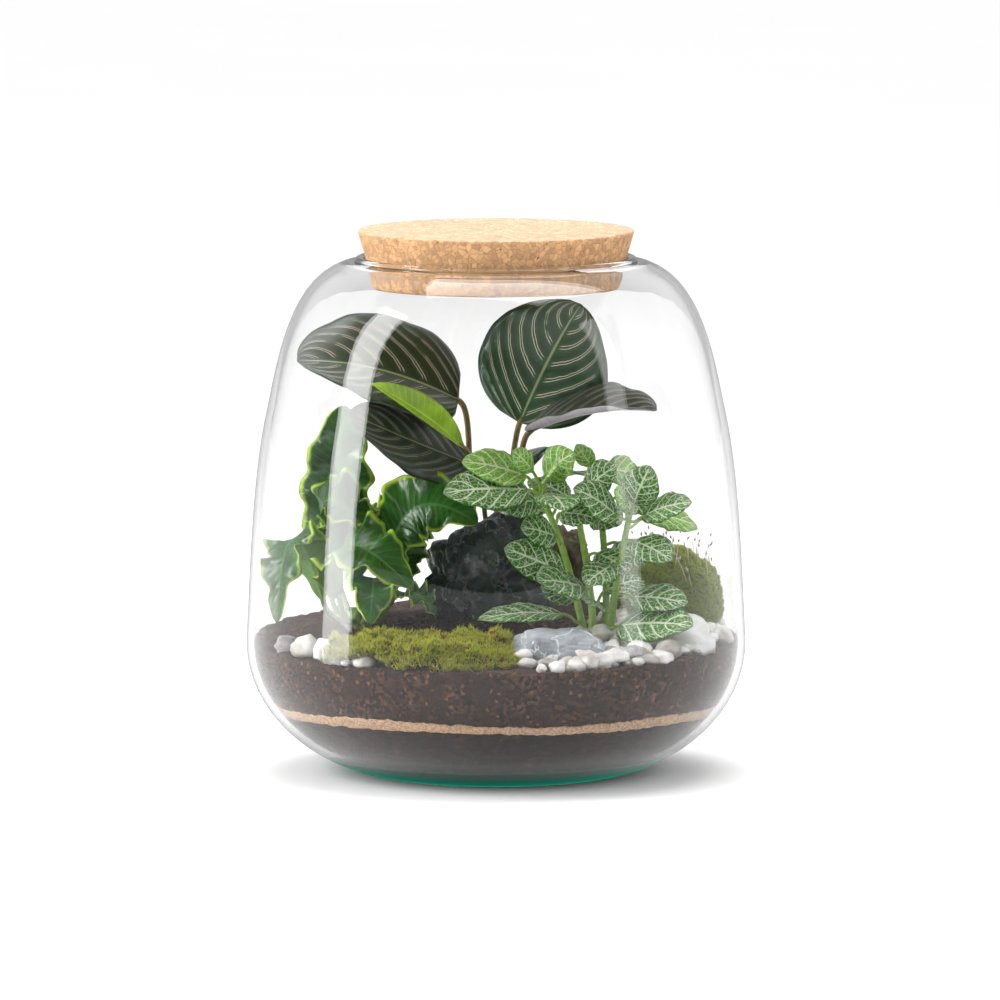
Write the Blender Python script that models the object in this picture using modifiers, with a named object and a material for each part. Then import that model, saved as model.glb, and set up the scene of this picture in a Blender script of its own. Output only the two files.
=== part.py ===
"""A closed plant terrarium: a round glass jar with a tapered cork lid, three layers of planting
ground, two mosses, rocks and pebbles, and three plants (pinstripe calathea, crisped nest fern and
nerve plant). All lengths below are in millimetres until MM turns them into Blender's metres.
The origin is the centre of the jar's foot, +Z up, and the planting faces -Y."""

import math
from typing import NamedTuple

import bmesh
import bpy
from mathutils import Vector, noise

MM = 0.001
GAP = 0.3  # clearance between pieces that touch
SEGMENTS = 48  # sides of the jar and of what fills it

# Jar
FOOT_RADIUS = 64.0
BELLY_RADIUS = 125.0
BELLY_HEIGHT = 66.0
SHOULDER_RADIUS = 115.8
SHOULDER_HEIGHT = 175.0
NECK_OUTER_RADIUS = 71.0
NECK_HEIGHT = 256.5
LIP_RADIUS = 3.0
WALL = 3.4
FLOOR = 9.0
LIP_CENTRE = Vector((NECK_OUTER_RADIUS - LIP_RADIUS, NECK_HEIGHT - 1.2))

# Cork lid, a taper that wedges in the neck
CORK_TAPER = 0.27  # radius gained for each millimetre of height
CORK_BOTTOM = 243.0
CORK_TOP = 271.5
CORK_EDGE = 0.8

# Planting ground
SAND_BOTTOM = 33.5
SAND_THICKNESS = 4.4
GROUND_LEVEL = 67.5
GROUND_SLOPE = 0.03  # rise per millimetre towards the back

COLOURS = {
    "glass": ((0.86, 0.93, 0.90), 0.05),
    "cork": ((0.66, 0.43, 0.24), 0.85),
    "soil": ((0.075, 0.040, 0.024), 0.95),
    "sand": ((0.62, 0.44, 0.30), 0.95),
    "carpet_moss": ((0.33, 0.36, 0.03), 0.9),
    "cushion_moss": ((0.20, 0.27, 0.02), 0.9),
    "black_stone": ((0.035, 0.042, 0.050), 0.35),
    "brown_stone": ((0.10, 0.09, 0.06), 0.7),
    "grey_stone": ((0.42, 0.44, 0.47), 0.6),
    "white_stone": ((0.80, 0.79, 0.78), 0.5),
    "calathea": ((0.055, 0.10, 0.045), 0.35),
    "young_leaf": ((0.35, 0.48, 0.03), 0.35),
    "fern": ((0.06, 0.17, 0.02), 0.3),
    "fittonia": ((0.13, 0.24, 0.05), 0.45),
    "stem": ((0.24, 0.36, 0.07), 0.5),
    "roots": ((0.11, 0.065, 0.038), 0.95),
}


# ---------------------------------------------------------------- shared helpers


def clear_scene():
    for obj in list(bpy.data.objects):
        bpy.data.objects.remove(obj)


def collection(name):
    made = bpy.data.collections.new(name)
    bpy.context.scene.collection.children.link(made)
    return made


def material(slot):
    made = bpy.data.materials.get(slot)
    if made:
        return made
    colour, roughness = COLOURS[slot]
    made = bpy.data.materials.new(slot)
    made.use_nodes = True
    shader = made.node_tree.nodes["Principled BSDF"]
    shader.inputs["Base Color"].default_value = (*colour, 1.0)
    shader.inputs["Roughness"].default_value = roughness
    if slot == "glass":
        shader.inputs["Transmission Weight"].default_value = 1.0
    return made


def new_object(name, mesh, slot, group):
    mesh.materials.append(material(slot))
    obj = bpy.data.objects.new(name, mesh)
    group.objects.link(obj)
    return obj


def mesh_of(name, form):
    """A mesh in metres from a bmesh in millimetres, with its faces pointing out."""
    bmesh.ops.recalc_face_normals(form, faces=form.faces)
    if form.calc_volume(signed=True) < 0:
        bmesh.ops.reverse_faces(form, faces=form.faces)
    bmesh.ops.scale(form, vec=(MM, MM, MM), verts=form.verts)
    mesh = bpy.data.meshes.new(name)
    form.to_mesh(mesh)
    form.free()
    mesh.shade_smooth()
    return mesh


def loft(name, rings):
    """A closed skin through rings of points; a ring of one point closes that end."""
    form = bmesh.new()
    rows = [[form.verts.new(point) for point in ring] for ring in rings]
    for row, following in zip(rows, rows[1:]):
        count = max(len(row), len(following))
        for i in range(count):
            j = (i + 1) % count
            corners = [
                row[i % len(row)],
                row[j % len(row)],
                following[j % len(following)],
                following[i % len(following)],
            ]
            form.faces.new(list(dict.fromkeys(corners)))
    for end in (rows[0], rows[-1]):
        if len(end) > 2:
            form.faces.new(end)
    bmesh.ops.triangulate(form, faces=form.faces, quad_method="FIXED")
    return mesh_of(name, form)


def bezier(points, t):
    """The point at t, from 0 to 1, on the Bezier curve that these points steer."""
    points = [Vector(p) for p in points]
    while len(points) > 1:
        points = [a.lerp(b, t) for a, b in zip(points, points[1:])]
    return points[0]


def around(radius, height, count=SEGMENTS):
    """A level ring of points; radius and height may be functions of the angle."""
    ring = []
    for i in range(count):
        angle = 2 * math.pi * i / count
        r = radius(angle) if callable(radius) else radius
        x, y = r * math.cos(angle), r * math.sin(angle)
        ring.append((x, y, height(x, y) if callable(height) else height))
    return ring


# ---------------------------------------------------------------- jar and lid


def outer_outline():
    """(radius, height) of the jar's outside, from the foot's edge to the neck."""
    bottom = [(FOOT_RADIUS, 0), (91, 4.5), (125.4, 29), (BELLY_RADIUS, BELLY_HEIGHT)]
    side = [bottom[-1], (123.2, 99), (122, 143), (SHOULDER_RADIUS, SHOULDER_HEIGHT)]
    shoulder = [side[-1], (109.4, 203), (104.5, 251), (NECK_OUTER_RADIUS, NECK_HEIGHT)]
    outline = []
    for arc, steps in ((bottom, 7), (side, 3), (shoulder, 7)):
        arc = [(r, z, 0) for r, z in arc]
        outline += [bezier(arc, i / steps).xy for i in range(steps)]
    return outline + [Vector((NECK_OUTER_RADIUS, NECK_HEIGHT))]


def inner_outline():
    """The outside moved in by the wall, from the floor's edge to the neck."""
    outer = outer_outline()
    inner = []
    for before, here, after in zip(outer, outer[1:], outer[2:]):
        along = (after - before).normalized()
        point = here + Vector((-along.y, along.x)) * WALL
        if point.y > FLOOR + 1:
            inner.append(point)
    corner = Vector((inner[0].x - 9, FLOOR))
    return [corner] + inner


def inner_radius(height):
    """The radius of the jar's inside at a height, along the same straight facets as the jar."""
    outline = inner_outline()
    for low, high in zip(outline, outline[1:]):
        if height <= high.y:
            share = max(0.0, (height - low.y) / (high.y - low.y))
            return low.x + share * (high.x - low.x)
    return outline[-1].x


def make_jar(group):
    """One piece of glass: foot, wall, rounded lip and inside, turned about the axis."""
    lip = []
    for degrees in (20, 60, 100, 140, 180):
        angle = math.radians(degrees)
        lip.append(LIP_CENTRE + LIP_RADIUS * Vector((math.cos(angle), math.sin(angle))))
    section = [Vector((0, 0))] + outer_outline() + lip
    section += list(reversed(inner_outline())) + [Vector((0, FLOOR))]
    section.reverse()
    mesh = bpy.data.meshes.new("glass_jar")
    points = [(r * MM, 0, z * MM) for r, z in section]
    edges = [(i, i + 1) for i in range(len(points) - 1)]
    mesh.from_pydata(points, edges, [])
    jar = new_object("glass_jar", mesh, "glass", group)
    screw = jar.modifiers.new("turn", "SCREW")
    screw.steps = screw.render_steps = SEGMENTS
    screw.use_merge_vertices = True
    screw.merge_threshold = 0.00005
    screw.use_smooth_shade = True


def make_lid(group):
    """The tapered cork, wedged on the lip, its two rims lightly broken by a bevel."""
    height = CORK_TOP - CORK_BOTTOM
    seat = LIP_CENTRE.x - LIP_RADIUS - GAP
    bpy.ops.mesh.primitive_cone_add(
        vertices=SEGMENTS,
        radius1=(seat - CORK_TAPER * (LIP_CENTRE.y - CORK_BOTTOM)) * MM,
        radius2=(seat + CORK_TAPER * (CORK_TOP - LIP_CENTRE.y)) * MM,
        depth=height * MM,
        location=(0, 0, (CORK_BOTTOM + height / 2) * MM),
    )
    lid = bpy.context.object
    lid.name = lid.data.name = "cork_lid"
    lid.data.materials.append(material("cork"))
    bevel = lid.modifiers.new("broken_edge", "BEVEL")
    bevel.width = CORK_EDGE * MM
    bevel.segments = 1
    bevel.limit_method = "ANGLE"
    bpy.context.collection.objects.unlink(lid)
    group.objects.link(lid)


# ---------------------------------------------------------------- planting ground


def sand_bottom(x, y):
    return SAND_BOTTOM + 0.7 * math.sin(x / 31) * math.cos(y / 37) + 0.4 * math.sin((x + y) / 17)


def sand_top(x, y):
    thickness = SAND_THICKNESS + 0.8 * math.sin(x / 23 + 1) * math.cos(y / 29)
    return sand_bottom(x, y) + thickness


def hill(x, y, at, height, spread):
    distance = (x - at[0]) ** 2 + (y - at[1]) ** 2
    return height * math.exp(-distance / (2 * spread * spread))


def ground(x, y):
    """The height of the planted surface: it rises to the back and is heaped under the plants."""
    level = GROUND_LEVEL + GROUND_SLOPE * y
    level += hill(x, y, (14, 28), 15, 40)
    level += hill(x, y, (-64, 6), 7, 26)
    return level + 0.6 * math.sin(x / 9) * math.cos(y / 8)


def layer(name, bottom, top, rings=4, walls=3):
    """A disc of ground that fills the jar between two surfaces, a gap inside the glass."""

    def edge_at(share):
        ring = []
        for i in range(SEGMENTS):
            angle = 2 * math.pi * i / SEGMENTS
            x, y = math.cos(angle), math.sin(angle)
            radius = 100.0
            for _ in range(6):
                low, high = bottom(x * radius, y * radius), top(x * radius, y * radius)
                height = low + share * (high - low)
                radius = inner_radius(height) - GAP
            ring.append((x * radius, y * radius, height))
        return ring

    lowest, highest = edge_at(0), edge_at(1)

    def inwards(edge, surface, share):
        return [(x * share, y * share, surface(x * share, y * share)) for x, y, _ in edge]

    shares = [i / rings for i in range(1, rings)]
    skin = [[(0, 0, bottom(0, 0))]]
    skin += [inwards(lowest, bottom, share) for share in shares]
    skin += [edge_at(i / walls) for i in range(walls + 1)]
    skin += [inwards(highest, top, share) for share in reversed(shares)]
    skin.append([(0, 0, top(0, 0))])
    return loft(name, skin)


class RootBall(NamedTuple):
    plant: str
    x: float
    y: float
    radius: float
    depth: float

    def top(self):
        """Level with the lowest ground round its rim."""
        rim = around(self.radius, 0, 16)
        return min(ground(self.x + x, self.y + y) for x, y, _ in rim) - 2 * GAP


FERN_ROOTS = RootBall("fern", -67, -8, 15, 22)
CALATHEA_ROOTS = RootBall("calathea", -3, 42, 16, 24)
FITTONIA_ROOTS = RootBall("fittonia", 51, -30, 15, 20)
ROOT_BALLS = (FERN_ROOTS, CALATHEA_ROOTS, FITTONIA_ROOTS)


def plug(name, ball, grow=0, rise=0):
    """A root ball's taper; its pocket is grown by the clearance and goes on up by the rise."""
    sizes = [(ball.radius * 0.75 + grow, ball.top() - ball.depth - grow)]
    sizes.append((ball.radius + grow, ball.top()))
    if rise:
        sizes.append((ball.radius + grow, ball.top() + rise))
    rings = []
    for radius, height in sizes:
        ring = around(radius, height, 16)
        rings.append([(ball.x + x, ball.y + y, z) for x, y, z in ring])
    return loft(name, rings)


def cut(obj, cutter):
    boolean = obj.modifiers.new("cut_" + cutter.name, "BOOLEAN")
    boolean.operation = "DIFFERENCE"
    boolean.object = cutter
    boolean.solver = "EXACT"


def as_cutter(name, mesh, group):
    cutter = bpy.data.objects.new(name, mesh)
    cutter.hide_render = True
    cutter.display_type = "WIRE"
    group.objects.link(cutter)
    return cutter


def make_ground(group, cutters):
    """Lower soil, sand stripe, upper soil with its pockets, and the root balls in them.
    Returns the cutter that beds stones and mosses on the surface."""
    lower = layer("lower_soil", lambda x, y: FLOOR + GAP, lambda x, y: sand_bottom(x, y) - GAP)
    new_object("lower_soil", lower, "soil", group)
    sand = layer("sand_layer", sand_bottom, sand_top, walls=1)
    new_object("sand_layer", sand, "sand", group)
    upper = layer("upper_soil", lambda x, y: sand_top(x, y) + GAP, ground, rings=6)
    soil = new_object("upper_soil", upper, "soil", group)
    for ball in ROOT_BALLS:
        pocket = plug("pocket_" + ball.plant, ball, GAP, 30)
        cut(soil, as_cutter("pocket_" + ball.plant, pocket, cutters))
        name = ball.plant + "_root_ball"
        new_object(name, plug(name, ball), "roots", group)
    bed = layer("bed", lambda x, y: SAND_BOTTOM, lambda x, y: ground(x, y) + GAP, rings=6)
    return as_cutter("bed", bed, cutters)


# ---------------------------------------------------------------- stones and mosses


class Lump(NamedTuple):
    name: str
    slot: str
    centre: tuple
    radii: tuple
    turn: float = 0  # degrees about the vertical
    roughness: float = 0.1
    seed: int = 1
    detail: int = 2


LUMPS = (
    Lump("black_rock", "black_stone", (-5, 6, 94), (34, 14, 31), 0, 0.16, 3, 3),
    Lump("back_rock", "brown_stone", (34, 46, 98), (15, 12, 20), 20, 0.14, 9),
    Lump("grey_stone", "grey_stone", (30, -78, 67), (26, 17, 13), 4, 0.08, 5),
    Lump("white_stone", "white_stone", (91, -44, 70), (17, 12, 12), -35, 0.10, 6),
    Lump("left_pebble_1", "white_stone", (-93, -66, 70), (7.5, 6, 6), 20, 0.08, 11, 1),
    Lump("left_pebble_2", "white_stone", (-84, -80, 70), (5, 4, 6), 0, 0.08, 12, 1),
    Lump("right_pebble_1", "grey_stone", (68, -82, 68), (8, 5, 5), 30, 0.08, 13, 1),
    Lump("right_pebble_2", "white_stone", (52, -97, 67), (6, 4.5, 4.5), 10, 0.08, 14, 1),
    Lump("right_pebble_3", "grey_stone", (84, -70, 69), (7, 6, 6.5), 40, 0.08, 15, 1),
    Lump("right_pebble_4", "white_stone", (112, -20, 70), (5, 7, 5.5), 0, 0.08, 16, 1),
    Lump("carpet_moss", "carpet_moss", (-37, -80, 68), (38, 28, 10), -4, 0.10, 21, 3),
    Lump("cushion_moss", "cushion_moss", (88, 24, 76), (27, 30, 32), 0, 0.08, 22, 3),
)


def make_lump(lump, group, bed):
    """A stone or a moss: a ball stretched, roughened and bedded on the ground."""
    bpy.ops.mesh.primitive_ico_sphere_add(subdivisions=lump.detail, radius=1)
    obj = bpy.context.object
    turn = math.radians(lump.turn)
    for vertex in obj.data.vertices:
        at = vertex.co.normalized()
        swell = 1 + lump.roughness * noise.noise(at * 1.7 + Vector((lump.seed, 0, 0))) * 2
        x, y, z = (axis * radius * swell for axis, radius in zip(at, lump.radii))
        vertex.co = (
            (x * math.cos(turn) - y * math.sin(turn) + lump.centre[0]) * MM,
            (x * math.sin(turn) + y * math.cos(turn) + lump.centre[1]) * MM,
            (z + lump.centre[2]) * MM,
        )
    obj.name = obj.data.name = lump.name
    obj.data.materials.append(material(lump.slot))
    cut(obj, bed)
    bpy.context.collection.objects.unlink(obj)
    group.objects.link(obj)


# ---------------------------------------------------------------- leaves


class Kind(NamedTuple):
    """What all leaves of one plant share."""

    slot: str
    belly: float  # below 1 moves the widest place towards the tip's end, above 1 to the base
    blunt: float  # the smaller, the rounder both ends
    thickness: float
    stalk_radius: float
    rows: int
    ripples: float = 0
    ripple_height: float = 0


CALATHEA = Kind("calathea", 0.80, 0.62, 1.0, 1.5, 7)
SPEAR = Kind("young_leaf", 0.90, 0.70, 1.4, 1.3, 6)
FERN = Kind("fern", 0.92, 0.66, 1.1, 1.6, 10, 2.0, 1.6)
FITTONIA = Kind("fittonia", 0.84, 0.70, 1.0, 0.9, 5)


class Leaf(NamedTuple):
    name: str
    kind: Kind
    root: tuple  # where the stalk meets the crown or stem
    leave: tuple  # the way the stalk leaves it
    base: tuple  # where the stalk becomes the blade
    via: tuple  # steers the midrib's arch
    tip: tuple
    face: tuple  # the way the upper side looks
    width: float
    fold: float = 12  # degrees that each half stands up from the midrib
    bend: tuple = None  # steers a long stalk


def blade_frame(leaf, curve, t):
    """The point on a midrib or stalk with its sideways and upward directions."""
    step = 0.01
    here = bezier(curve, t)
    along = (bezier(curve, min(1, t + step)) - bezier(curve, max(0, t - step))).normalized()
    side = (Vector(leaf.tip) - Vector(leaf.base)).cross(Vector(leaf.face)).normalized()
    up = side.cross(along).normalized()
    return here, along.cross(up).normalized(), up


def half_width(leaf, t):
    bulge = math.sin(math.pi * min(t, 0.999) ** leaf.kind.belly) ** leaf.kind.blunt
    return max(leaf.kind.stalk_radius * (1 - t), 0.25, leaf.width / 2 * bulge)


def blade_point(leaf, t, s):
    """A point of the blade's middle surface: t from base to tip, s from edge to edge."""
    here, side, up = blade_frame(leaf, (leaf.base, leaf.via, leaf.tip), t)
    reach = half_width(leaf, t) * s
    fold = math.radians(leaf.fold)
    phase = 0.9 if s > 0 else 2.6
    ripple = leaf.kind.ripple_height * math.sin(2 * math.pi * leaf.kind.ripples * t + phase)
    ripple *= s * s * math.sin(math.pi * t)
    point = here + side * reach * math.cos(fold)
    return point + up * (abs(reach) * math.sin(fold) + ripple), up


def leaf_rings(leaf):
    """Closed sections from the stalk's foot to the tip, eight points each."""
    kind = leaf.kind
    rings = []
    stalk = stalk_curve(leaf)
    for t in (0, 0.35, 0.75):
        here, side, up = blade_frame(leaf, stalk, t)
        ring = []
        for i in range(8):
            angle = math.pi * i / 4
            ring.append(here + kind.stalk_radius * (side * math.cos(angle) + up * math.sin(angle)))
        rings.append(ring)
    for row in range(kind.rows + 1):
        t = 0.03 + 0.97 * row / kind.rows
        ring = []
        for s, share in ((1, 0), (0.5, 0.8), (0, 1), (-0.5, 0.8)):
            point, up = blade_point(leaf, t, s)
            ring.append(point + up * share * kind.thickness / 2 * (1.1 - t * 0.8))
        for s, share in ((-1, 0), (-0.5, 0.8), (0, 1), (0.5, 0.8)):
            point, up = blade_point(leaf, t, s)
            ring.append(point - up * share * kind.thickness / 2 * (1.1 - t * 0.8))
        rings.append(ring)
    return rings


def stalk_curve(leaf):
    """The stalk leaves square to what it grows from and runs into the blade's line."""
    root, base = Vector(leaf.root), Vector(leaf.base)
    reach = min(8, (base - root).length * 0.4)
    into = (base - Vector(leaf.via)).normalized()
    curve = [root, root + Vector(leaf.leave).normalized() * reach]
    if leaf.bend:
        curve.append(Vector(leaf.bend))
    return curve + [base + into * reach, base]


def make_leaf(leaf, group):
    new_object(leaf.name, loft(leaf.name, leaf_rings(leaf)), leaf.kind.slot, group)


class Crown(NamedTuple):
    """The short thick stem at the heart of a plant, standing on its root ball."""

    ball: RootBall
    radius: float
    height: float
    stalk_height: float

    def stalk(self, degrees):
        """Where a stalk starts, a gap off the crown's side, and the way it leaves."""
        angle = math.radians(degrees)
        away = Vector((math.cos(angle), math.sin(angle), 0))
        middle = Vector((self.ball.x, self.ball.y, self.ball.top() + self.stalk_height))
        return tuple(middle + away * (self.radius + GAP)), tuple(away)


FERN_CROWN = Crown(FERN_ROOTS, 7.5, 11, 5)
CALATHEA_CROWN = Crown(CALATHEA_ROOTS, 6.5, 13, 7)


def make_crown(crown, group):
    low = crown.ball.top() + GAP
    rings = []
    for share, narrow in ((0, 1), (0.75, 1), (0.92, 0.75)):
        ring = around(crown.radius * narrow, low + share * crown.height, 16)
        rings.append([(crown.ball.x + x, crown.ball.y + y, z) for x, y, z in ring])
    rings.append([(crown.ball.x, crown.ball.y, low + crown.height)])
    name = crown.ball.plant + "_crown"
    new_object(name, loft(name, rings), "stem", group)


def calathea_leaves():
    stalk = CALATHEA_CROWN.stalk
    kind = CALATHEA
    return (
        Leaf("calathea_leaf_1", kind, *stalk(180), (-19, 18, 184), (-60, 10, 206),
             (-99, -6, 206), (0.1, -0.51, 0.82), 82, 15, (-12, 36, 160)),
        Leaf("calathea_leaf_2", kind, *stalk(215), (-14, 4, 154), (-40, -18, 166),
             (-73, -35, 183), (0.1, -0.8, 0.6), 40, 10, (-12, 27, 147)),
        Leaf("calathea_leaf_3", kind, *stalk(30), (12, 34, 171), (26, 36, 205),
             (43, 26, 233), (-0.25, -0.95, 0.15), 70, 8, (4, 48, 130)),
        Leaf("calathea_leaf_4", kind, *stalk(330), (17, 18, 168), (48, 0, 184),
             (80, -12, 182), (-0.05, -0.25, 0.97), 40, 28, (12, 30, 140)),
        Leaf("calathea_leaf_5", SPEAR, *stalk(270), (-17, -12, 164), (-36, -34, 184),
             (-61, -48, 199), (0.2, -0.8, 0.55), 13, 30, (-4, 24, 156)),
        Leaf("calathea_leaf_6", kind, *stalk(90), (2, 66, 140), (4, 84, 158),
             (10, 98, 136), (0, 0.35, 0.93), 46, 14, (-1, 58, 110)),
    )


def fern_leaves():
    stalk = FERN_CROWN.stalk
    return (
        Leaf("fern_frond_1", FERN, *stalk(115), (-79, 4, 98), (-82, 12, 140),
             (-76, 16, 182), (-0.15, -0.98, 0.1), 30, 10),
        Leaf("fern_frond_2", FERN, *stalk(160), (-84, -8, 96), (-96, -12, 170),
             (-58, -22, 114), (0.35, -0.55, 0.75), 32, 8),
        Leaf("fern_frond_3", FERN, *stalk(235), (-78, -26, 90), (-86, -46, 143),
             (-41, -58, 98), (0.15, -0.6, 0.78), 36, 10),
        Leaf("fern_frond_4", FERN, *stalk(200), (-86, -20, 88), (-104, -30, 156),
             (-107, -50, 80), (-0.7, -0.55, 0.45), 26, 6),
        Leaf("fern_frond_5", FERN, *stalk(340), (-55, -12, 94), (-50, -20, 156),
             (-9, -29, 127), (0.45, -0.65, 0.6), 30, 10),
        Leaf("fern_frond_6", FERN, *stalk(35), (-51, 0, 92), (-44, 0, 112),
             (-37, 0, 134), (0.55, -0.8, -0.1), 16, 6),
        Leaf("fern_frond_7", FERN, *stalk(275), (-64, -28, 84), (-58, -52, 122),
             (-62, -74, 82), (0.1, -0.3, 0.95), 20, 8),
        Leaf("fern_frond_8", FERN, *stalk(62), (-58, 10, 96), (-53, 25, 137),
             (-43, 45, 128), (0.15, 0.1, 0.98), 23, 9),
        Leaf("fern_frond_9", FERN, *stalk(88), (-70, 14, 94), (-75, 37, 147),
             (-85, 63, 110), (-0.15, 0.4, 0.9), 27, 9),
        Leaf("fern_frond_10", FERN, *stalk(300), (-55, -26, 84), (-42, -44, 104),
             (-30, -46, 84), (0.2, -0.2, 0.95), 16, 8),
    )


# Nerve plant stems: points on their centre lines, and radius
STEM_RADIUS = 1.7
STEMS = (
    ("fittonia_stem_1", ((45, -34), (39, -36, 96), (33, -34, 122), (20, -36, 146))),
    ("fittonia_stem_2", ((48, -26), (49, -22, 92), (43, -16, 114), (40, -18, 137))),
    ("fittonia_stem_3", ((56, -33), (58, -34, 90), (62, -34, 112), (66, -36, 132))),
    ("fittonia_stem_4", ((54, -24), (56, -16, 92), (54, -8, 120), (50, -8, 148))),
)


def stem_curve(points):
    (x, y), *rest = points
    return [(x, y, FITTONIA_ROOTS.top() + 2 * GAP)] + rest


def on_stem(stem, t, towards):
    """A place a gap off a stem's skin, square to it, and the way from the stem's middle."""
    curve = stem_curve(STEMS[stem][1])
    here = bezier(curve, t)
    along = (here - bezier(curve, t - 0.05)).normalized()
    away = (Vector(towards) - here).normalized()
    away = (away - along * away.dot(along)).normalized()
    return tuple(here + away * (STEM_RADIUS + GAP)), tuple(away)


def make_stem(name, points, group):
    """A thin round stem as a bevelled curve with closed ends."""
    curve = bpy.data.curves.new(name, "CURVE")
    curve.dimensions = "3D"
    curve.bevel_depth = STEM_RADIUS * MM
    curve.bevel_resolution = 2
    curve.use_fill_caps = True
    spline = curve.splines.new("POLY")
    count = 10
    spline.points.add(count - 1)
    for i, point in enumerate(spline.points):
        point.co = (*(bezier(stem_curve(points), i / (count - 1)) * MM), 1)
    curve.materials.append(material("stem"))
    group.objects.link(bpy.data.objects.new(name, curve))


class Nerve(NamedTuple):
    """A nerve plant leaf: where on which stem, its stalk's end, its tip and how it lies."""

    stem: int
    at: float
    base: tuple
    tip: tuple
    face: tuple
    width: float
    arch: float = 4
    fold: float = 10


NERVE_LEAVES = (
    Nerve(0, 0.99, (15, -40, 152), (-17, -48, 160), (0.1, -0.62, 0.78), 24),
    Nerve(0, 0.99, (24, -38, 152), (39, -42, 164), (-0.25, -0.8, 0.55), 20),
    Nerve(0, 0.93, (16, -46, 146), (-26, -62, 146), (0.05, -0.65, 0.76), 28),
    Nerve(0, 0.90, (27, -46, 143), (34, -68, 138), (0.1, -0.4, 0.9), 22),
    Nerve(0, 0.80, (28, -28, 136), (4, -24, 133), (0, -0.5, 0.86), 20),
    Nerve(1, 0.99, (44, -22, 142), (60, -30, 156), (-0.35, -0.75, 0.55), 19),
    Nerve(1, 0.96, (36, -14, 138), (16, -4, 146), (0, -0.3, 0.95), 20),
    Nerve(3, 0.99, (55, -8, 152), (74, -4, 146), (0.1, -0.6, 0.8), 22),
    Nerve(3, 0.94, (46, -2, 148), (34, 16, 146), (0, 0.2, 0.97), 20),
    Nerve(2, 0.97, (60, -40, 132), (38, -50, 147), (0.3, -0.6, 0.7), 24),
    Nerve(2, 0.99, (68, -40, 138), (76, -46, 158), (-0.2, -0.9, 0.2), 18),
    Nerve(2, 0.96, (72, -42, 132), (96, -50, 140), (0.0, -0.5, 0.86), 22),
    Nerve(2, 0.90, (74, -28, 130), (100, -22, 124), (0.3, -0.4, 0.86), 22),
    Nerve(0, 0.45, (34, -44, 104), (4, -54, 118), (-0.2, -0.8, 0.5), 20),
    Nerve(1, 0.40, (44, -44, 97), (20, -66, 103), (-0.1, -0.7, 0.7), 24),
    Nerve(2, 0.35, (66, -42, 92), (94, -56, 90), (0.2, -0.6, 0.75), 22),
    Nerve(2, 0.12, (60, -46, 78), (96, -70, 81), (-0.1, -0.55, 0.8), 28),
    Nerve(0, 0.14, (33, -46, 84), (-9, -60, 83), (0, -0.3, 0.95), 20),
)


def fittonia_leaves():
    leaves = []
    for number, nerve in enumerate(NERVE_LEAVES, 1):
        middle = (Vector(nerve.base) + Vector(nerve.tip)) / 2
        via = middle + Vector(nerve.face).normalized() * nerve.arch
        root = on_stem(nerve.stem, nerve.at, nerve.base)
        leaves.append(Leaf(f"fittonia_leaf_{number}", FITTONIA, *root, nerve.base, tuple(via),
                           nerve.tip, nerve.face, nerve.width, nerve.fold))
    return leaves


# ---------------------------------------------------------------- assembly


def main():
    clear_scene()
    terrarium = collection("glass_terrarium")
    cutters = collection("cutters")
    cutters.hide_render = True
    make_jar(terrarium)
    make_lid(terrarium)
    bed = make_ground(terrarium, cutters)
    for lump in LUMPS:
        make_lump(lump, terrarium, bed)
    for crown in (FERN_CROWN, CALATHEA_CROWN):
        make_crown(crown, terrarium)
    for name, points in STEMS:
        make_stem(name, points, terrarium)
    for leaf in (*calathea_leaves(), *fern_leaves(), *fittonia_leaves()):
        make_leaf(leaf, terrarium)


main()
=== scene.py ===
"""The looks of a closed plant terrarium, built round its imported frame.

A round glass jar with a cork lid holds three layers of ground, two mosses, stones, gravel, a
pinstripe calathea, a crisped nest fern and nerve plants. Shapes are worked out in millimetres and
turned into Blender's metres by MM. The jar's foot is centred on the origin, +Z is up and the
planting faces -Y. Each group of pieces has its own operator and the sidebar panel lists them."""

import math
import random
from typing import NamedTuple

import bmesh
import bpy
from mathutils import Matrix, Vector, noise


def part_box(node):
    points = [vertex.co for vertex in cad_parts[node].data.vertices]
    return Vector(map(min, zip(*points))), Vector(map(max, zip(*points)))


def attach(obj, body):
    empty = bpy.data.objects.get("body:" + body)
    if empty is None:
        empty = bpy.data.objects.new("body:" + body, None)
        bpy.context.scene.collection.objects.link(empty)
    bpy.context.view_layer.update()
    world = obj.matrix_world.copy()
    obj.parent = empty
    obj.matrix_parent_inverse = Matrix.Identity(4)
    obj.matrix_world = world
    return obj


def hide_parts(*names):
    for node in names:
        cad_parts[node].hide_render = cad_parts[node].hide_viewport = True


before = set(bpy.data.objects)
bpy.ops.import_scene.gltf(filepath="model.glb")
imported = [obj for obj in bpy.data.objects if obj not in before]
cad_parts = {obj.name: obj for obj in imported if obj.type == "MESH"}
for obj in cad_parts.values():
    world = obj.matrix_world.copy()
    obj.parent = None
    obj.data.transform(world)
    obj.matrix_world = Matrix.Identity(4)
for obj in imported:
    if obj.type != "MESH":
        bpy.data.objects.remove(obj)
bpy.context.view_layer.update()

bl_info = {
    "name": "Plant Terrarium",
    "version": (1, 0, 0),
    "blender": (4, 5, 0),
    "location": "View3D > Sidebar > Terrarium",
    "description": "Builds a corked glass terrarium with its planting and a plain studio",
    "category": "Object",
}

MM = 0.001


# ---------------------------------------------------------------- settings


def colour(name, description, red, green, blue):
    return bpy.props.FloatVectorProperty(
        name=name, description=description, default=(red, green, blue), subtype="COLOR", size=3,
        min=0, max=1)


def length(name, description, millimetres):
    return bpy.props.FloatProperty(
        name=name, description=description, default=millimetres * MM, unit="LENGTH", min=0)


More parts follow.
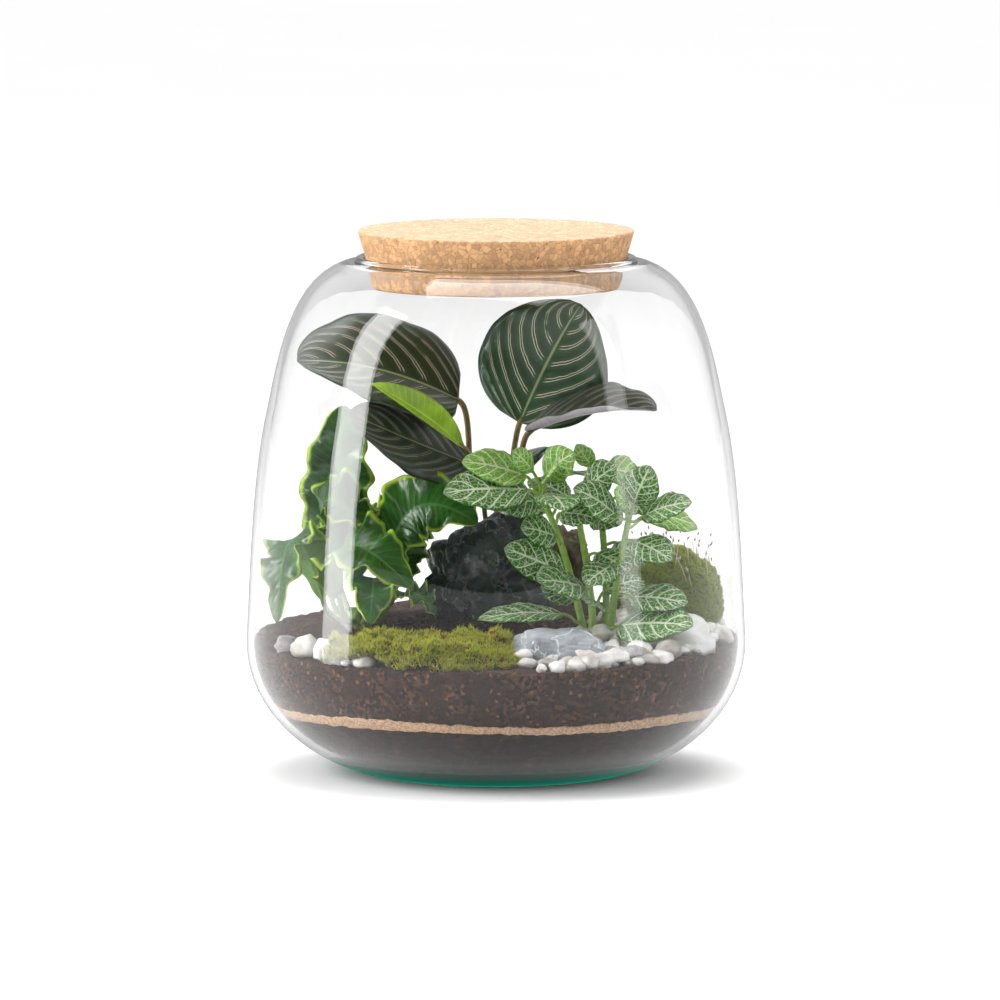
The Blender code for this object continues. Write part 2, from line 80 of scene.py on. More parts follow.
class JarSettings(bpy.types.PropertyGroup):
    """Glass and cork."""

    wall: length("Wall", "Thickness of the glass wall", 3.4)
    tint: colour("Foot tint", "Colour of the thick glass in the foot", 0.03, 0.50, 0.32)
    cork: colour("Cork", "Colour of the lid's granules", 0.64, 0.36, 0.17)
    # Painted highlight: the lid's top is the same cork in a lighter colour, for the light that falls on
    # it from above.
    cork_top: colour("Cork top", "Colour of the sanded top of the lid", 0.74, 0.50, 0.32)


class GroundSettings(bpy.types.PropertyGroup):
    """Soil, sand, stones and mosses."""

    soil: colour("Soil", "Colour of the moist soil", 0.046, 0.018, 0.009)
    deep_soil: colour("Deep soil", "Colour of the lower soil", 0.022, 0.010, 0.006)
    sand: colour("Sand", "Colour of the sand stripe", 0.62, 0.40, 0.25)
    gravel: bpy.props.IntProperty(name="Gravel", description="Pebbles to scatter", default=260, min=0)
    moss: colour("Moss", "Colour of the moss tips", 0.62, 0.64, 0.05)
    shoots: bpy.props.IntProperty(
        name="Shoots", description="Shoots of the carpet moss", default=2600, min=0)


class PlantSettings(bpy.types.PropertyGroup):
    """Leaf colours."""

    calathea: colour("Calathea", "Upper side of a grown calathea leaf", 0.008, 0.030, 0.010)
    pinstripe: colour("Pinstripe", "Paired lines on the calathea", 0.80, 0.62, 0.56)
    fern: colour("Fern", "Fronds of the nest fern", 0.022, 0.095, 0.010)
    fern_edge: colour("Fern edge", "Crisped margin of the fronds", 0.42, 0.62, 0.05)
    fittonia: colour("Nerve plant", "Fields between the nerves", 0.040, 0.17, 0.010)
    nerve: colour("Nerves", "Net of pale nerves", 0.82, 0.90, 0.66)


class StageSettings(bpy.types.PropertyGroup):
    """Floor and light."""

    floor: colour("Floor", "Colour of the pale floor", 0.97, 0.97, 0.97)
    key: bpy.props.FloatProperty(
        name="Key light", description="Power of the tall soft light at the left", default=24,
        unit="POWER", min=0)


SETTINGS = {
    "terrarium_jar": JarSettings,
    "terrarium_ground": GroundSettings,
    "terrarium_plants": PlantSettings,
    "terrarium_stage": StageSettings,
}


# ---------------------------------------------------------------- materials


class Recipe:
    """A material of nodes, written as sums and mixes. Its keywords are shader inputs."""

    def __init__(self, name, **fixed):
        self.material = bpy.data.materials.new(name)
        self.material.use_nodes = True
        self.tree = self.material.node_tree
        self.shader = self.tree.nodes["Principled BSDF"]
        self.output = self.tree.nodes["Material Output"]
        for socket, value in fixed.items():
            title = socket.replace("_", " ").title().replace("Ior", "IOR")
            self.put(self.shader.inputs[title], value)

    def put(self, socket, value):
        if isinstance(value, bpy.types.NodeSocket):
            self.tree.links.new(value, socket)
        elif socket.type == "RGBA" and len(value) == 3:
            socket.default_value = (*value, 1)
        else:
            socket.default_value = value

    def node(self, kind, fields=None, **sockets):
        made = self.tree.nodes.new("ShaderNode" + kind)
        for field, value in (fields or {}).items():
            setattr(made, field, value)
        for socket, value in sockets.items():
            self.put(made.inputs[socket], value)
        return made

    def sum(self, operation, *values):
        made = self.node("Math", {"operation": operation})
        for socket, value in zip(made.inputs, values):
            self.put(socket, value)
        return made.outputs[0]

    def plus(self, first, second):
        return self.sum("ADD", first, second)

    def times(self, first, second):
        return self.sum("MULTIPLY", first, second)

    def distance(self, value, middle):
        return self.sum("ABSOLUTE", self.sum("SUBTRACT", value, middle))

    def mix(self, share, first, second):
        made = self.node("Mix", {"data_type": "RGBA"})
        for index, value in ((0, share), (6, first), (7, second)):
            self.put(made.inputs[index], value)
        return made.outputs[2]

    def ramp(self, value, *stops):
        made = self.node("ValToRGB", Fac=value)
        band = made.color_ramp
        while len(band.elements) < len(stops):
            band.elements.new(0.5)
        for element, (position, grey) in zip(band.elements, stops):
            element.position = position
            element.color = (grey, grey, grey, 1)
        return made.outputs[0]

    def steps(self, value, low, high):
        """0 below low, 1 above high and smooth between; a low above high turns it round."""
        made = self.node("MapRange", {"interpolation_type": "SMOOTHSTEP"}, Value=value)
        for socket, number in (("From Min", low), ("From Max", high)):
            self.put(made.inputs[socket], number)
        return made.outputs[0]

    def place(self):
        return self.node("TexCoord").outputs["Object"]

    def noise(self, scale, detail=4.0, vector=None, roughness=0.55):
        made = self.node("TexNoise", Scale=scale, Detail=detail, Roughness=roughness)
        self.put(made.inputs["Vector"], vector or self.place())
        return made.outputs[0]

    def cells(self, scale, feature="F1", vector=None, output=0):
        made = self.node("TexVoronoi", {"feature": feature}, Scale=scale)
        self.put(made.inputs["Vector"], vector or self.place())
        return made.outputs[output]

    def shaken(self, vector, scale, detail, amount):
        """A vector moved by noise, so that patterns laid with it aren't regular."""
        wobble = self.node("TexNoise", Scale=scale, Detail=detail, Vector=vector)
        moved = self.node("VectorMath", {"operation": "MULTIPLY_ADD"})
        for socket, value in zip(moved.inputs, (wobble.outputs["Color"], amount, vector)):
            self.put(socket, value)
        return moved.outputs[0]

    def split(self, vector):
        return self.node("SeparateXYZ", Vector=vector).outputs

    def map(self, name):
        return self.node("UVMap", {"uv_map": name}).outputs[0]

    def blade(self):
        """How far a point lies along a leaf, across it from -1 to 1, and from its midrib."""
        parts = self.split(self.map("leaf"))
        across = self.sum("MULTIPLY_ADD", parts[1], 2.0, -1.0)
        return parts[0], across, self.sum("ABSOLUTE", across)

    def relief(self, height, strength, millimetres):
        made = self.node("Bump", Height=height, Strength=strength, Distance=millimetres * MM)
        self.put(self.shader.inputs["Normal"], made.outputs[0])

    def paint(self, base, roughness):
        self.put(self.shader.inputs["Base Color"], base)
        self.put(self.shader.inputs["Roughness"], roughness)

    def blend(self, share, first, second):
        """Shows a share of the second shader over the first."""
        mixed = self.node("MixShader", Fac=share)
        self.put(mixed.inputs[1], first.outputs[0])
        self.put(mixed.inputs[2], second.outputs[0])
        self.put(self.output.inputs["Surface"], mixed.outputs[0])

    def glow(self, tone, share):
        """Lets light through a thin leaf."""
        self.blend(share, self.shader, self.node("BsdfTranslucent", Color=tone))


def shade(tone, gain, lift=0.0):
    """A colour made lighter or darker."""
    return [min(1, part * gain + lift) for part in tone]


def glass_material(look):
    """Clear glass, green where it is thick in the foot, with painted shade that greys it where it is
    seen edge on.
    """
    recipe = Recipe("clear_glass")
    height = recipe.split(recipe.place())[2]
    foot = recipe.steps(height, 0.013, 0.003)
    facing = recipe.node("LayerWeight", Blend=0.35).outputs["Facing"]
    # Painted shade: the glass's colour is darkened where it is seen edge on, in place of the dark rims
    # that its surroundings give it.
    edge = recipe.ramp(facing, (0.0, 0.995), (0.70, 0.975), (0.90, 0.84), (1.0, 0.50))
    tint = recipe.mix(foot, edge, look.tint)
    glass = recipe.node("BsdfGlass", Color=tint, IOR=1.45, Roughness=0.0)
    clear = recipe.node("BsdfTransparent", Color=(0.97, 0.98, 0.98, 1))
    recipe.blend(recipe.node("LightPath").outputs["Is Shadow Ray"], glass, clear)
    recipe.tree.nodes.remove(recipe.shader)
    return recipe.material


def cork_material(name, tone):
    """Pressed granules of several browns with dark flecks and joints."""
    recipe = Recipe(name)
    vector = recipe.shaken(recipe.place(), 260, 3.0, (0.0022, 0.0022, 0.0022))
    grain = recipe.split(recipe.cells(330, vector=vector, output="Color"))[0]
    joint = recipe.cells(330, "DISTANCE_TO_EDGE", vector)
    dark = shade(tone, 0.42)
    granule = recipe.mix(0.55, recipe.mix(grain, dark, shade(tone, 1.35)), tone)
    fleck = recipe.steps(recipe.noise(420, 5.0, roughness=0.7), 0.60, 0.70)
    granule = recipe.mix(fleck, granule, (0.10, 0.035, 0.012))
    seam = recipe.steps(joint, 0.08, 0.0)
    base = recipe.mix(recipe.times(seam, 0.5), granule, dark)
    recipe.paint(base, 0.8)
    height = recipe.plus(recipe.steps(joint, 0.0, 0.15), recipe.noise(900, 4.0))
    recipe.relief(height, 0.5, 0.5)
    return recipe.material


def soil_material(name, tone, bright):
    """Crumbs of several browns with orange bits of bark."""
    recipe = Recipe(name)
    crumb = recipe.split(recipe.cells(620, output="Color"))
    base = recipe.mix(recipe.steps(crumb[0], 0.3, 1.0), shade(tone, 0.25), shade(tone, 2.6))
    patch = recipe.steps(recipe.noise(70, 5.0), 0.38, 0.62)
    base = recipe.mix(patch, base, shade(tone, 0.7))
    bark = recipe.steps(crumb[1], 0.955, 0.98)
    base = recipe.mix(recipe.times(bark, bright), base, (0.20, 0.085, 0.035))
    recipe.paint(base, 0.9)
    height = recipe.plus(recipe.cells(620), recipe.noise(1300, 5.0))
    recipe.relief(height, 0.9, 0.9)
    return recipe.material


def sand_material(tone):
    """Fine pale grains."""
    recipe = Recipe("sand_grains")
    grain = recipe.split(recipe.cells(1500, output="Color"))[0]
    base = recipe.mix(grain, shade(tone, 0.55), shade(tone, 1.35))
    recipe.paint(base, 0.9)
    recipe.relief(recipe.cells(1500), 0.6, 0.4)
    return recipe.material


def stone_material(name, dark, light, scale, roughness, vein=0.0, relief=0.6, coat=0.15):
    """Cloudy stone with thin pale veins and a pitted skin."""
    recipe = Recipe(name, coat_weight=coat, coat_roughness=0.2)
    cloud = recipe.steps(recipe.noise(scale, 8.0, roughness=0.65), 0.36, 0.66)
    base = recipe.mix(cloud, dark, light)
    ridge = recipe.distance(recipe.noise(scale * 0.7, 5.0), 0.5)
    line = recipe.times(recipe.steps(ridge, 0.012, 0.0), vein)
    base = recipe.mix(line, base, (0.85, 0.86, 0.88))
    recipe.paint(base, recipe.ramp(cloud, (0.0, roughness * 0.6), (1.0, roughness)))
    height = recipe.plus(cloud, recipe.noise(scale * 5, 8.0, roughness=0.7))
    recipe.relief(height, relief, 1.2)
    return recipe.material


def moss_material(name, tip, deep, brown):
    """Shoots bright at their tips. The map holds the way up a shoot and a number drawn for it."""
    recipe = Recipe(name, specular_ior_level=0.3)
    rise, odd, _ = recipe.split(recipe.map("leaf"))
    green = recipe.mix(rise, deep, tip)
    rusty = recipe.steps(odd, 1.0 - brown, 1.02 - brown)
    base = recipe.mix(rusty, green, (0.34, 0.13, 0.03))
    recipe.paint(base, 0.7)
    recipe.glow(base, 0.35)
    return recipe.material


def pattern_lines(recipe, along, across, count, slant, width, bow=1.3):
    """Side veins swept towards the tip, as lines of 1 and as a wave that is 0 on each line."""
    reach = recipe.sum("POWER", recipe.sum("ABSOLUTE", across), bow)
    phase = recipe.sum("MULTIPLY_ADD", reach, -slant, along)
    phase = recipe.times(phase, count)
    saw = recipe.distance(recipe.sum("FRACT", phase), 0.5)
    return recipe.steps(saw, width, width * 0.35), saw


def wavy(recipe, along, amount):
    """The way along a leaf, shaken a little so that no vein is ruler straight."""
    shake = recipe.sum("SUBTRACT", recipe.noise(170, 3.0), 0.5)
    return recipe.sum("MULTIPLY_ADD", shake, amount, along)


def calathea_material(name, upper, stripe):
    """Dark glossy leaf: thin paired stripes bow from the pale midrib towards the tip."""
    recipe = Recipe(name, coat_weight=0.35, coat_roughness=0.18)
    along, across, reach = recipe.blade()
    _, saw = pattern_lines(recipe, wavy(recipe, along, 0.03), across, 7.5, 0.55, 0.1, 1.5)
    pair = recipe.distance(saw, 0.085)
    line = recipe.steps(pair, 0.034, 0.012)
    inside = recipe.times(recipe.steps(reach, 0.05, 0.12), recipe.steps(reach, 0.90, 0.72))
    patchy = recipe.steps(recipe.noise(90, 2.0), 0.30, 0.46)
    line = recipe.times(recipe.times(line, inside), patchy)
    band = recipe.times(recipe.steps(saw, 0.42, 0.2), 0.5)
    base = recipe.mix(band, upper, shade(upper, 2.0, 0.004))
    rim = recipe.steps(reach, 0.86, 1.0)
    base = recipe.mix(recipe.times(rim, 0.6), base, shade(upper, 0.5))
    base = recipe.mix(recipe.times(line, 0.92), base, stripe)
    base = recipe.mix(recipe.steps(reach, 0.030, 0.008), base, (0.30, 0.36, 0.16))
    base = recipe.mix(recipe.steps(along, -0.002, -0.01), base, (0.22, 0.16, 0.05))
    recipe.paint(base, 0.33)
    recipe.relief(recipe.plus(recipe.steps(saw, 0.0, 0.5), recipe.noise(700, 3.0)), 0.25, 0.8)
    recipe.glow(recipe.mix(0.6, base, (0.14, 0.28, 0.04)), 0.06)
    return recipe.material


def plain_leaf_material(name, tone, roughness, share, count=16.0, edge=None):
    """A leaf with faint side veins, a paler midrib and, where given, a bright margin."""
    recipe = Recipe(name, coat_weight=0.5, coat_roughness=0.12)
    along, across, reach = recipe.blade()
    line, saw = pattern_lines(recipe, along, across, count, 0.10, 0.16, 1.0)
    patch = recipe.steps(recipe.noise(60, 3.0), 0.3, 0.7)
    base = recipe.mix(patch, shade(tone, 0.62), shade(tone, 1.5))
    pale = shade(tone, 1.8, 0.02)
    base = recipe.mix(recipe.times(line, 0.3), base, pale)
    base = recipe.mix(recipe.steps(reach, 0.07, 0.02), base, pale)
    if edge:
        shaken = recipe.sum("MULTIPLY_ADD", recipe.noise(120, 3.0), 0.16, reach)
        base = recipe.mix(recipe.steps(shaken, 0.89, 1.03), base, edge)
    recipe.paint(base, roughness)
    recipe.relief(recipe.plus(saw, recipe.noise(300, 3.0)), 0.3, 0.9)
    recipe.glow(shade(edge or tone, 1.6, 0.03) if share > 0.3 else base, share)
    return recipe.material


def nerve_material(name, field, nerve, amount):
    """Green fields between a midrib, side nerves and a fine net, all pale."""
    recipe = Recipe(name, specular_ior_level=0.4)
    along, across, reach = recipe.blade()
    side, _ = pattern_lines(recipe, wavy(recipe, along, 0.05), across, 5.5, 0.30, 0.10, 1.2)
    vector = recipe.shaken(recipe.map("measure"), 4.0, 2.0, (0.16, 0.16, 0.0))
    net = recipe.cells(4.0, "DISTANCE_TO_EDGE", vector)
    fine = recipe.times(recipe.steps(net, 0.058, 0.015), amount)
    main = recipe.steps(reach, 0.075, 0.03)
    pale = recipe.sum("MAXIMUM", recipe.sum("MAXIMUM", fine, main), side)
    pale = recipe.times(pale, recipe.steps(reach, 1.0, 0.90))
    green = recipe.mix(recipe.noise(300, 3.0), shade(field, 0.6), shade(field, 1.6))
    base = recipe.mix(pale, green, nerve)
    base = recipe.mix(recipe.steps(along, -0.002, -0.01), base, (0.32, 0.42, 0.12))
    recipe.paint(base, 0.45)
    recipe.relief(recipe.times(pale, -1.0), 0.6, 0.5)
    recipe.glow(recipe.mix(0.5, base, (0.30, 0.55, 0.05)), 0.25)
    return recipe.material


def stem_material(tone):
    """A stalk with faint mottling."""
    recipe = Recipe("green_stem", specular_ior_level=0.4)
    base = recipe.mix(recipe.noise(260, 4.0), shade(tone, 0.6), shade(tone, 1.4))
    recipe.paint(base, 0.5)
    recipe.relief(recipe.noise(900, 3.0), 0.3, 0.3)
    return recipe.material


# ---------------------------------------------------------------- meshes


def mesh_of(name, points, faces, smooth=True, maps=None):
    """A mesh in metres from points in millimetres, with UV maps given for each point."""
    mesh = bpy.data.meshes.new(name)
    mesh.from_pydata([tuple(Vector(point) * MM) for point in points], [], faces)
    for map_name, pairs in (maps or {}).items():
        layer = mesh.uv_layers.new(name=map_name)
        for loop in mesh.loops:
            layer.data[loop.index].uv = pairs[loop.vertex_index]
    mesh.polygons.foreach_set("use_smooth", [smooth] * len(mesh.polygons))
    mesh.update()
    return mesh


def add_piece(name, mesh, materials, slot, *nodes):
    """Puts a piece on the terrarium's one body, in place of the frame's plain nodes."""
    for made in materials:
        mesh.materials.append(made)
    piece = bpy.data.objects.new(name, mesh)
    bpy.context.scene.collection.objects.link(piece)
    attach(piece, "root")
    if nodes:
        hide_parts(*nodes)
    return piece


def bezier(points, t):
    """The point at t, from 0 to 1, on the Bezier curve that these points steer."""
    points = [Vector(point) for point in points]
    while len(points) > 1:
        points = [a.lerp(b, t) for a, b in zip(points, points[1:])]
    return points[0]


def turned(name, profile, segments=160):
    """A solid of revolution: (radius, height) points from the axis round to the axis."""
    points = []
    rings = []
    for radius, height in profile:
        if radius < 0.001:
            rings.append([len(points)])
            points.append((0, 0, height))
            continue
        rings.append(list(range(len(points), len(points) + segments)))
        for i in range(segments):
            angle = 2 * math.pi * i / segments
            points.append((radius * math.cos(angle), radius * math.sin(angle), height))
    return mesh_of(name, points, skin(rings))


def skin(rings):
    """Faces between rings of point numbers; a ring of one point closes an end."""
    faces = []
    for low, high in zip(rings, rings[1:]):
        count = max(len(low), len(high))
        for i in range(count):
            j = (i + 1) % count
            corners = (low[i % len(low)], low[j % len(low)], high[j % len(high)], high[i % len(high)])
            faces.append(tuple(dict.fromkeys(corners)))
    return faces


# ---------------------------------------------------------------- jar and lid

WALL = 3.4
FLOOR = 9.0
FOOT = (64.0, 0.0)
BELLY = (125.0, 66.0)
SHOULDER = (115.8, 175.0)
NECK = (71.0, 256.5)
LIP_RADIUS = 3.0
LIP = Vector((NECK[0] - LIP_RADIUS, NECK[1] - 1.2))
ARCS = (
    (FOOT, (91, 4.5), (125.4, 29), BELLY),
    (BELLY, (123.2, 99), (122, 143), SHOULDER),
    (SHOULDER, (109.4, 203), (104.5, 251), NECK),
)
ARC_STEPS = 16


def outer_outline():
    outline = []
    for arc in ARCS:
        arc = [(r, z, 0) for r, z in arc]
        outline += [bezier(arc, i / ARC_STEPS).xy for i in range(ARC_STEPS)]
    return outline + [Vector(NECK)]


def inner_outline(wall=WALL):
    outer = outer_outline()
    inner = []
    for before, here, after in zip(outer, outer[1:], outer[2:]):
        along = (after - before).normalized()
        point = here + Vector((-along.y, along.x)) * wall
        if point.y > FLOOR + 2.5:
            inner.append(point)
    first = inner[0]
    return [Vector((first.x - 12, FLOOR)), Vector((first.x - 4, FLOOR + 0.7))] + inner


INNER = inner_outline()


def inner_radius(height):
    for low, high in zip(INNER, INNER[1:]):
        if height <= high.y:
            share = max(0.0, (height - low.y) / (high.y - low.y))
            return low.x + share * (high.x - low.x)
    return INNER[-1].x


class BuildJar(bpy.types.Operator):
    """Turn the clear glass jar with its rounded lip and thick foot"""

    bl_idname = "terrarium.build_jar"
    bl_label = "Glass jar"

    def execute(self, context):
        look = context.scene.terrarium_jar
        wall = look.wall / MM
        lip = []
        for degrees in range(20, 200, 20):
            angle = math.radians(degrees)
            lip.append(LIP + LIP_RADIUS * Vector((math.cos(angle), math.sin(angle))))
        foot = [Vector((0, 1.2)), Vector((52, 1.2)), Vector((57, 0.2)), Vector((60, 0))]
        section = foot + outer_outline() + lip + list(reversed(inner_outline(wall)))
        section.append(Vector((0, FLOOR + 0.8)))
        add_piece("jar_glass", turned("jar_glass", section), [glass_material(look)], "glass",
                  "glass_jar")
        return {"FINISHED"}


class BuildLid(bpy.types.Operator):
    """Turn the tapered cork lid and give it its pressed granules"""

    bl_idname = "terrarium.build_lid"
    bl_label = "Cork lid"

    def execute(self, context):
        look = context.scene.terrarium_jar
        low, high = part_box("cork_lid")
        bottom, top = low[2] / MM, high[2] / MM
        wide = high[0] / MM
        narrow = wide - 0.27 * (top - bottom)
        edge = 1.1
        side = [(wide - i * (wide - narrow) / 24, top - edge - i * (top - bottom - 2 * edge) / 24)
                for i in range(25)]
        flat = [wide - edge - i * (wide - edge) / 30 for i in range(30)]
        section = [(0, bottom)] + [(narrow - edge - 0.1, bottom)] + list(reversed(side))
        section += [(wide - 0.3, top - 0.35)] + [(radius, top) for radius in flat] + [(0, top)]
        mesh = turned("lid_cork", section, 240)
        rng = random.Random(5)
        for vertex in mesh.vertices:
            at = vertex.co / MM
            dent = noise.noise(at * 0.55) * 0.22 + noise.noise(at * 1.7) * 0.12
            dent = min(0.05, dent) - 0.05 * rng.random()
            away = Vector((at.x, at.y, 0)).normalized() if at.z < top - 0.2 else Vector((0, 0, 1))
            vertex.co = (at + away * dent) * MM
        sides = cork_material("cork_side", look.cork)
        # Painted highlight: a lighter copy of the cork for the upward faces, standing in for light from
        # above.
        lit = cork_material("cork_top", look.cork_top)
        piece = add_piece("lid_cork", mesh, [sides, lit], "cork", "cork_lid")
        for polygon in piece.data.polygons:
            if polygon.normal.z > 0.9:
                polygon.material_index = 1
        return {"FINISHED"}


# ---------------------------------------------------------------- ground

SAND_BOTTOM = 33.5
SAND_THICKNESS = 4.4
GROUND_LEVEL = 67.5
GAP = 0.3
WALL_SIDES = 420


def grit(x, y, seed, size):
    """Crumbly unevenness, in millimetres."""
    at = Vector((x, y, seed * 37.0))
    return size * (noise.noise(at * 0.45) + 0.6 * noise.noise(at * 1.1))


def sand_wave(x, y):
    return SAND_BOTTOM + 0.7 * math.sin(x / 31) * math.cos(y / 37)


def sand_bottom(x, y):
    return sand_wave(x, y) + grit(x, y, 1, 0.75)


def sand_top(x, y):
    thickness = SAND_THICKNESS + 0.8 * math.sin(x / 23 + 1) * math.cos(y / 29)
    return sand_wave(x, y) + thickness + grit(x, y, 2, 0.9)


def hill(x, y, at, height, spread):
    distance = (x - at[0]) ** 2 + (y - at[1]) ** 2
    return height * math.exp(-distance / (2 * spread * spread))


def ground(x, y):
    level = GROUND_LEVEL + 0.03 * y
    level += hill(x, y, (14, 28), 15, 40)
    level += hill(x, y, (-64, 6), 7, 26)
    return level + 0.6 * math.sin(x / 9) * math.cos(y / 8)


def crumbs(x, y):
    """The planted surface with its crumbs."""
    at = Vector((x, y, 11.0))
    lumps = noise.noise(at * 0.22) * 1.1 + noise.noise(at * 0.7) * 0.7
    return ground(x, y) + lumps - 0.3


def layer_mesh(name, bottom, top, rings, walls):
    """A disc of ground between two surfaces, fine grained where it meets the glass."""
    points = []
    numbers = []

    def add_ring(ring):
        numbers.append(list(range(len(points), len(points) + len(ring))))
        points.extend(ring)

    def edge_at(share):
        ring = []
        for i in range(WALL_SIDES):
            angle = 2 * math.pi * i / WALL_SIDES
            x, y = math.cos(angle), math.sin(angle)
            radius = 100.0
            for _ in range(4):
                low, high = bottom(x * radius, y * radius), top(x * radius, y * radius)
                height = low + share * (high - low)
                radius = inner_radius(height) - GAP
            ring.append((x * radius, y * radius, height))
        return ring

    def inwards(edge, surface, share):
        return [(x * share, y * share, surface(x * share, y * share)) for x, y, _ in edge]

    lowest, highest = edge_at(0), edge_at(1)
    add_ring([(0, 0, bottom(0, 0))])
    add_ring(inwards(lowest, bottom, 0.5))
    for i in range(walls + 1):
        add_ring(edge_at(i / walls))
    for i in range(1, rings):
        add_ring(inwards(highest, top, 1 - i / rings))
    add_ring([(0, 0, top(0, 0))])
    return mesh_of(name, points, skin(numbers))


class BuildGround(bpy.types.Operator):
    """Fill the jar with its lower soil, sand stripe and planted soil"""

    bl_idname = "terrarium.build_ground"
    bl_label = "Soil and sand"

    def execute(self, context):
        look = context.scene.terrarium_ground
        lower = layer_mesh("soil_lower", lambda x, y: FLOOR + 1.2,
                           lambda x, y: sand_bottom(x, y) - 0.1, 4, 12)
        add_piece("soil_lower", lower, [soil_material("deep_soil", look.deep_soil, 0.4)],
                  "soil", "lower_soil")
        sand = layer_mesh("sand_stripe", sand_bottom, sand_top, 4, 4)
        add_piece("sand_stripe", sand, [sand_material(look.sand)], "sand", "sand_layer")
        upper = layer_mesh("soil_upper", lambda x, y: sand_top(x, y) + 0.1, crumbs, 70, 12)
        add_piece("soil_upper", upper, [soil_material("crumbly_soil", look.soil, 1.0)],
                  "soil", "upper_soil", "fern_root_ball", "calathea_root_ball",
                  "fittonia_root_ball")
        return {"FINISHED"}


# ---------------------------------------------------------------- stones


def ball(detail):
    """Corners and faces of a round ball made from an icosahedron."""
    form = bmesh.new()
    bmesh.ops.create_icosphere(form, subdivisions=detail, radius=1)
    corners = [vertex.co.copy() for vertex in form.verts]
    faces = [tuple(vertex.index for vertex in face.verts) for face in form.faces]
    form.free()
    return corners, faces


def lump_points(corners, centre, radii, turn, roughness, seed, facets=0.0, fine=0.0):
    """A ball stretched, turned and roughened; facets flatten it into broken planes."""
    points = []
    spin = Matrix.Rotation(math.radians(turn), 3, "Z")
    shift = Vector((seed, 0, 0))
    for corner in corners:
        swell = 1 + 2 * roughness * noise.noise(corner * 1.7 + shift)
        if facets:
            spot = noise.voronoi(corner * 2.3 + shift * 3)[0]
            swell += facets * (spot[1] - spot[0] - 0.35)
        if fine:
            swell += fine * noise.fractal(corner * 7 + shift, 0.6, 2.1, 4)
        stretched = Vector([axis * radius * swell for axis, radius in zip(corner, radii)])
        points.append(spin @ stretched + Vector(centre))
    return points


class Stone(NamedTuple):
    """A large stone; facets break it into planes and fine roughens its skin."""

    name: str
    node: str
    slot: str
    centre: tuple
    radii: tuple
    turn: float
    roughness: float
    seed: int
    facets: float
    fine: float


STONES = (
    Stone("rock_black", "black_rock", "black_stone", (-5, 6, 94), (35, 15, 32), 0,
          0.17, 3, 0.24, 0.02),
    Stone("rock_back", "back_rock", "brown_stone", (34, 46, 98), (15, 12, 20), 20,
          0.14, 9, 0.1, 0.05),
    Stone("stone_grey", "grey_stone", "grey_stone", (30, -78, 67), (27, 17, 14), 4,
          0.08, 5, 0.12, 0.02),
    Stone("stone_white", "white_stone", "white_stone", (91, -44, 71), (18, 13, 13), -35,
          0.12, 6, 0, 0.01),
)
# The frame's own pebbles: name, kind, centre, radii, turn and seed; one loose one in four is grey
GREY_SHARE = 4
FRAME_PEBBLES = (
    ("left_pebble_1", "white_stone", (-93, -66, 70), (7.5, 6, 6), 20, 11),
    ("left_pebble_2", "white_stone", (-84, -80, 70), (5, 4, 6), 0, 12),
    ("right_pebble_1", "grey_stone", (68, -82, 68), (8, 5, 5), 30, 13),
    ("right_pebble_2", "white_stone", (52, -97, 67), (6, 4.5, 4.5), 10, 14),
    ("right_pebble_3", "grey_stone", (84, -70, 69), (7, 6, 6.5), 40, 15),
    ("right_pebble_4", "white_stone", (112, -20, 70), (5, 7, 5.5), 0, 16),
)


class BuildStones(bpy.types.Operator):
    """Lay the four large stones"""

    bl_idname = "terrarium.build_stones"
    bl_label = "Stones"

    def execute(self, context):
        finishes = {
            "black_stone": stone_material("black_rock_skin", (0.010, 0.014, 0.020),
                                          (0.045, 0.060, 0.075), 60, 0.26, 0.12, 0.45, 0.9),
            "brown_stone": stone_material("mossy_rock_skin", (0.03, 0.035, 0.012),
                                          (0.16, 0.12, 0.07), 80, 0.8, 0.0, 0.9),
            "grey_stone": stone_material("slate_skin", (0.20, 0.225, 0.26),
                                         (0.50, 0.53, 0.57), 45, 0.6, 0.8, 0.5),
            "white_stone": stone_material("marble_skin", (0.70, 0.70, 0.71),
                                          (0.93, 0.92, 0.91), 40, 0.45, 0.2, 0.15),
        }
        corners, faces = ball(6)
        for stone in STONES:
            points = lump_points(corners, *stone[3:])
            add_piece(stone.name, mesh_of(stone.name, points, faces), [finishes[stone.slot]],
                      stone.slot, stone.node)
        return {"FINISHED"}


def scatter(rng, count):
    """Places, sizes, turns and seeds of pebbles: a wide drift at the right, a few at the left."""
    spots = [(Vector(centre), Vector(radii), turn, seed)
             for _, _, centre, radii, turn, seed in FRAME_PEBBLES]
    tries = 0
    while len(spots) < count and tries < 6000:
        tries += 1
        if rng.random() < 0.14:
            angle = math.radians(rng.uniform(206, 236))
            away = rng.uniform(100, 116)
        else:
            angle = math.radians(rng.triangular(278, 372, 326))
            away = rng.triangular(52, 117, 104)
        x, y = away * math.cos(angle), away * math.sin(angle)
        size = rng.triangular(1.8, 7.4, 3.4)
        radii = Vector((size * rng.uniform(1, 1.4), size, size * rng.uniform(0.65, 0.9)))
        if math.hypot(x, y) + max(radii) > inner_radius(70) - 0.6:
            continue
        spot = Vector((x, y, ground(x, y) + radii.z * 0.45 + 2.5 * rng.random() * (away < 112)))
        if any((spot - other).length < (size + wide.y) * 0.86 for other, wide, _, _ in spots):
            continue
        spots.append((spot, radii, rng.uniform(0, 180), rng.randint(20, 900)))
    return spots


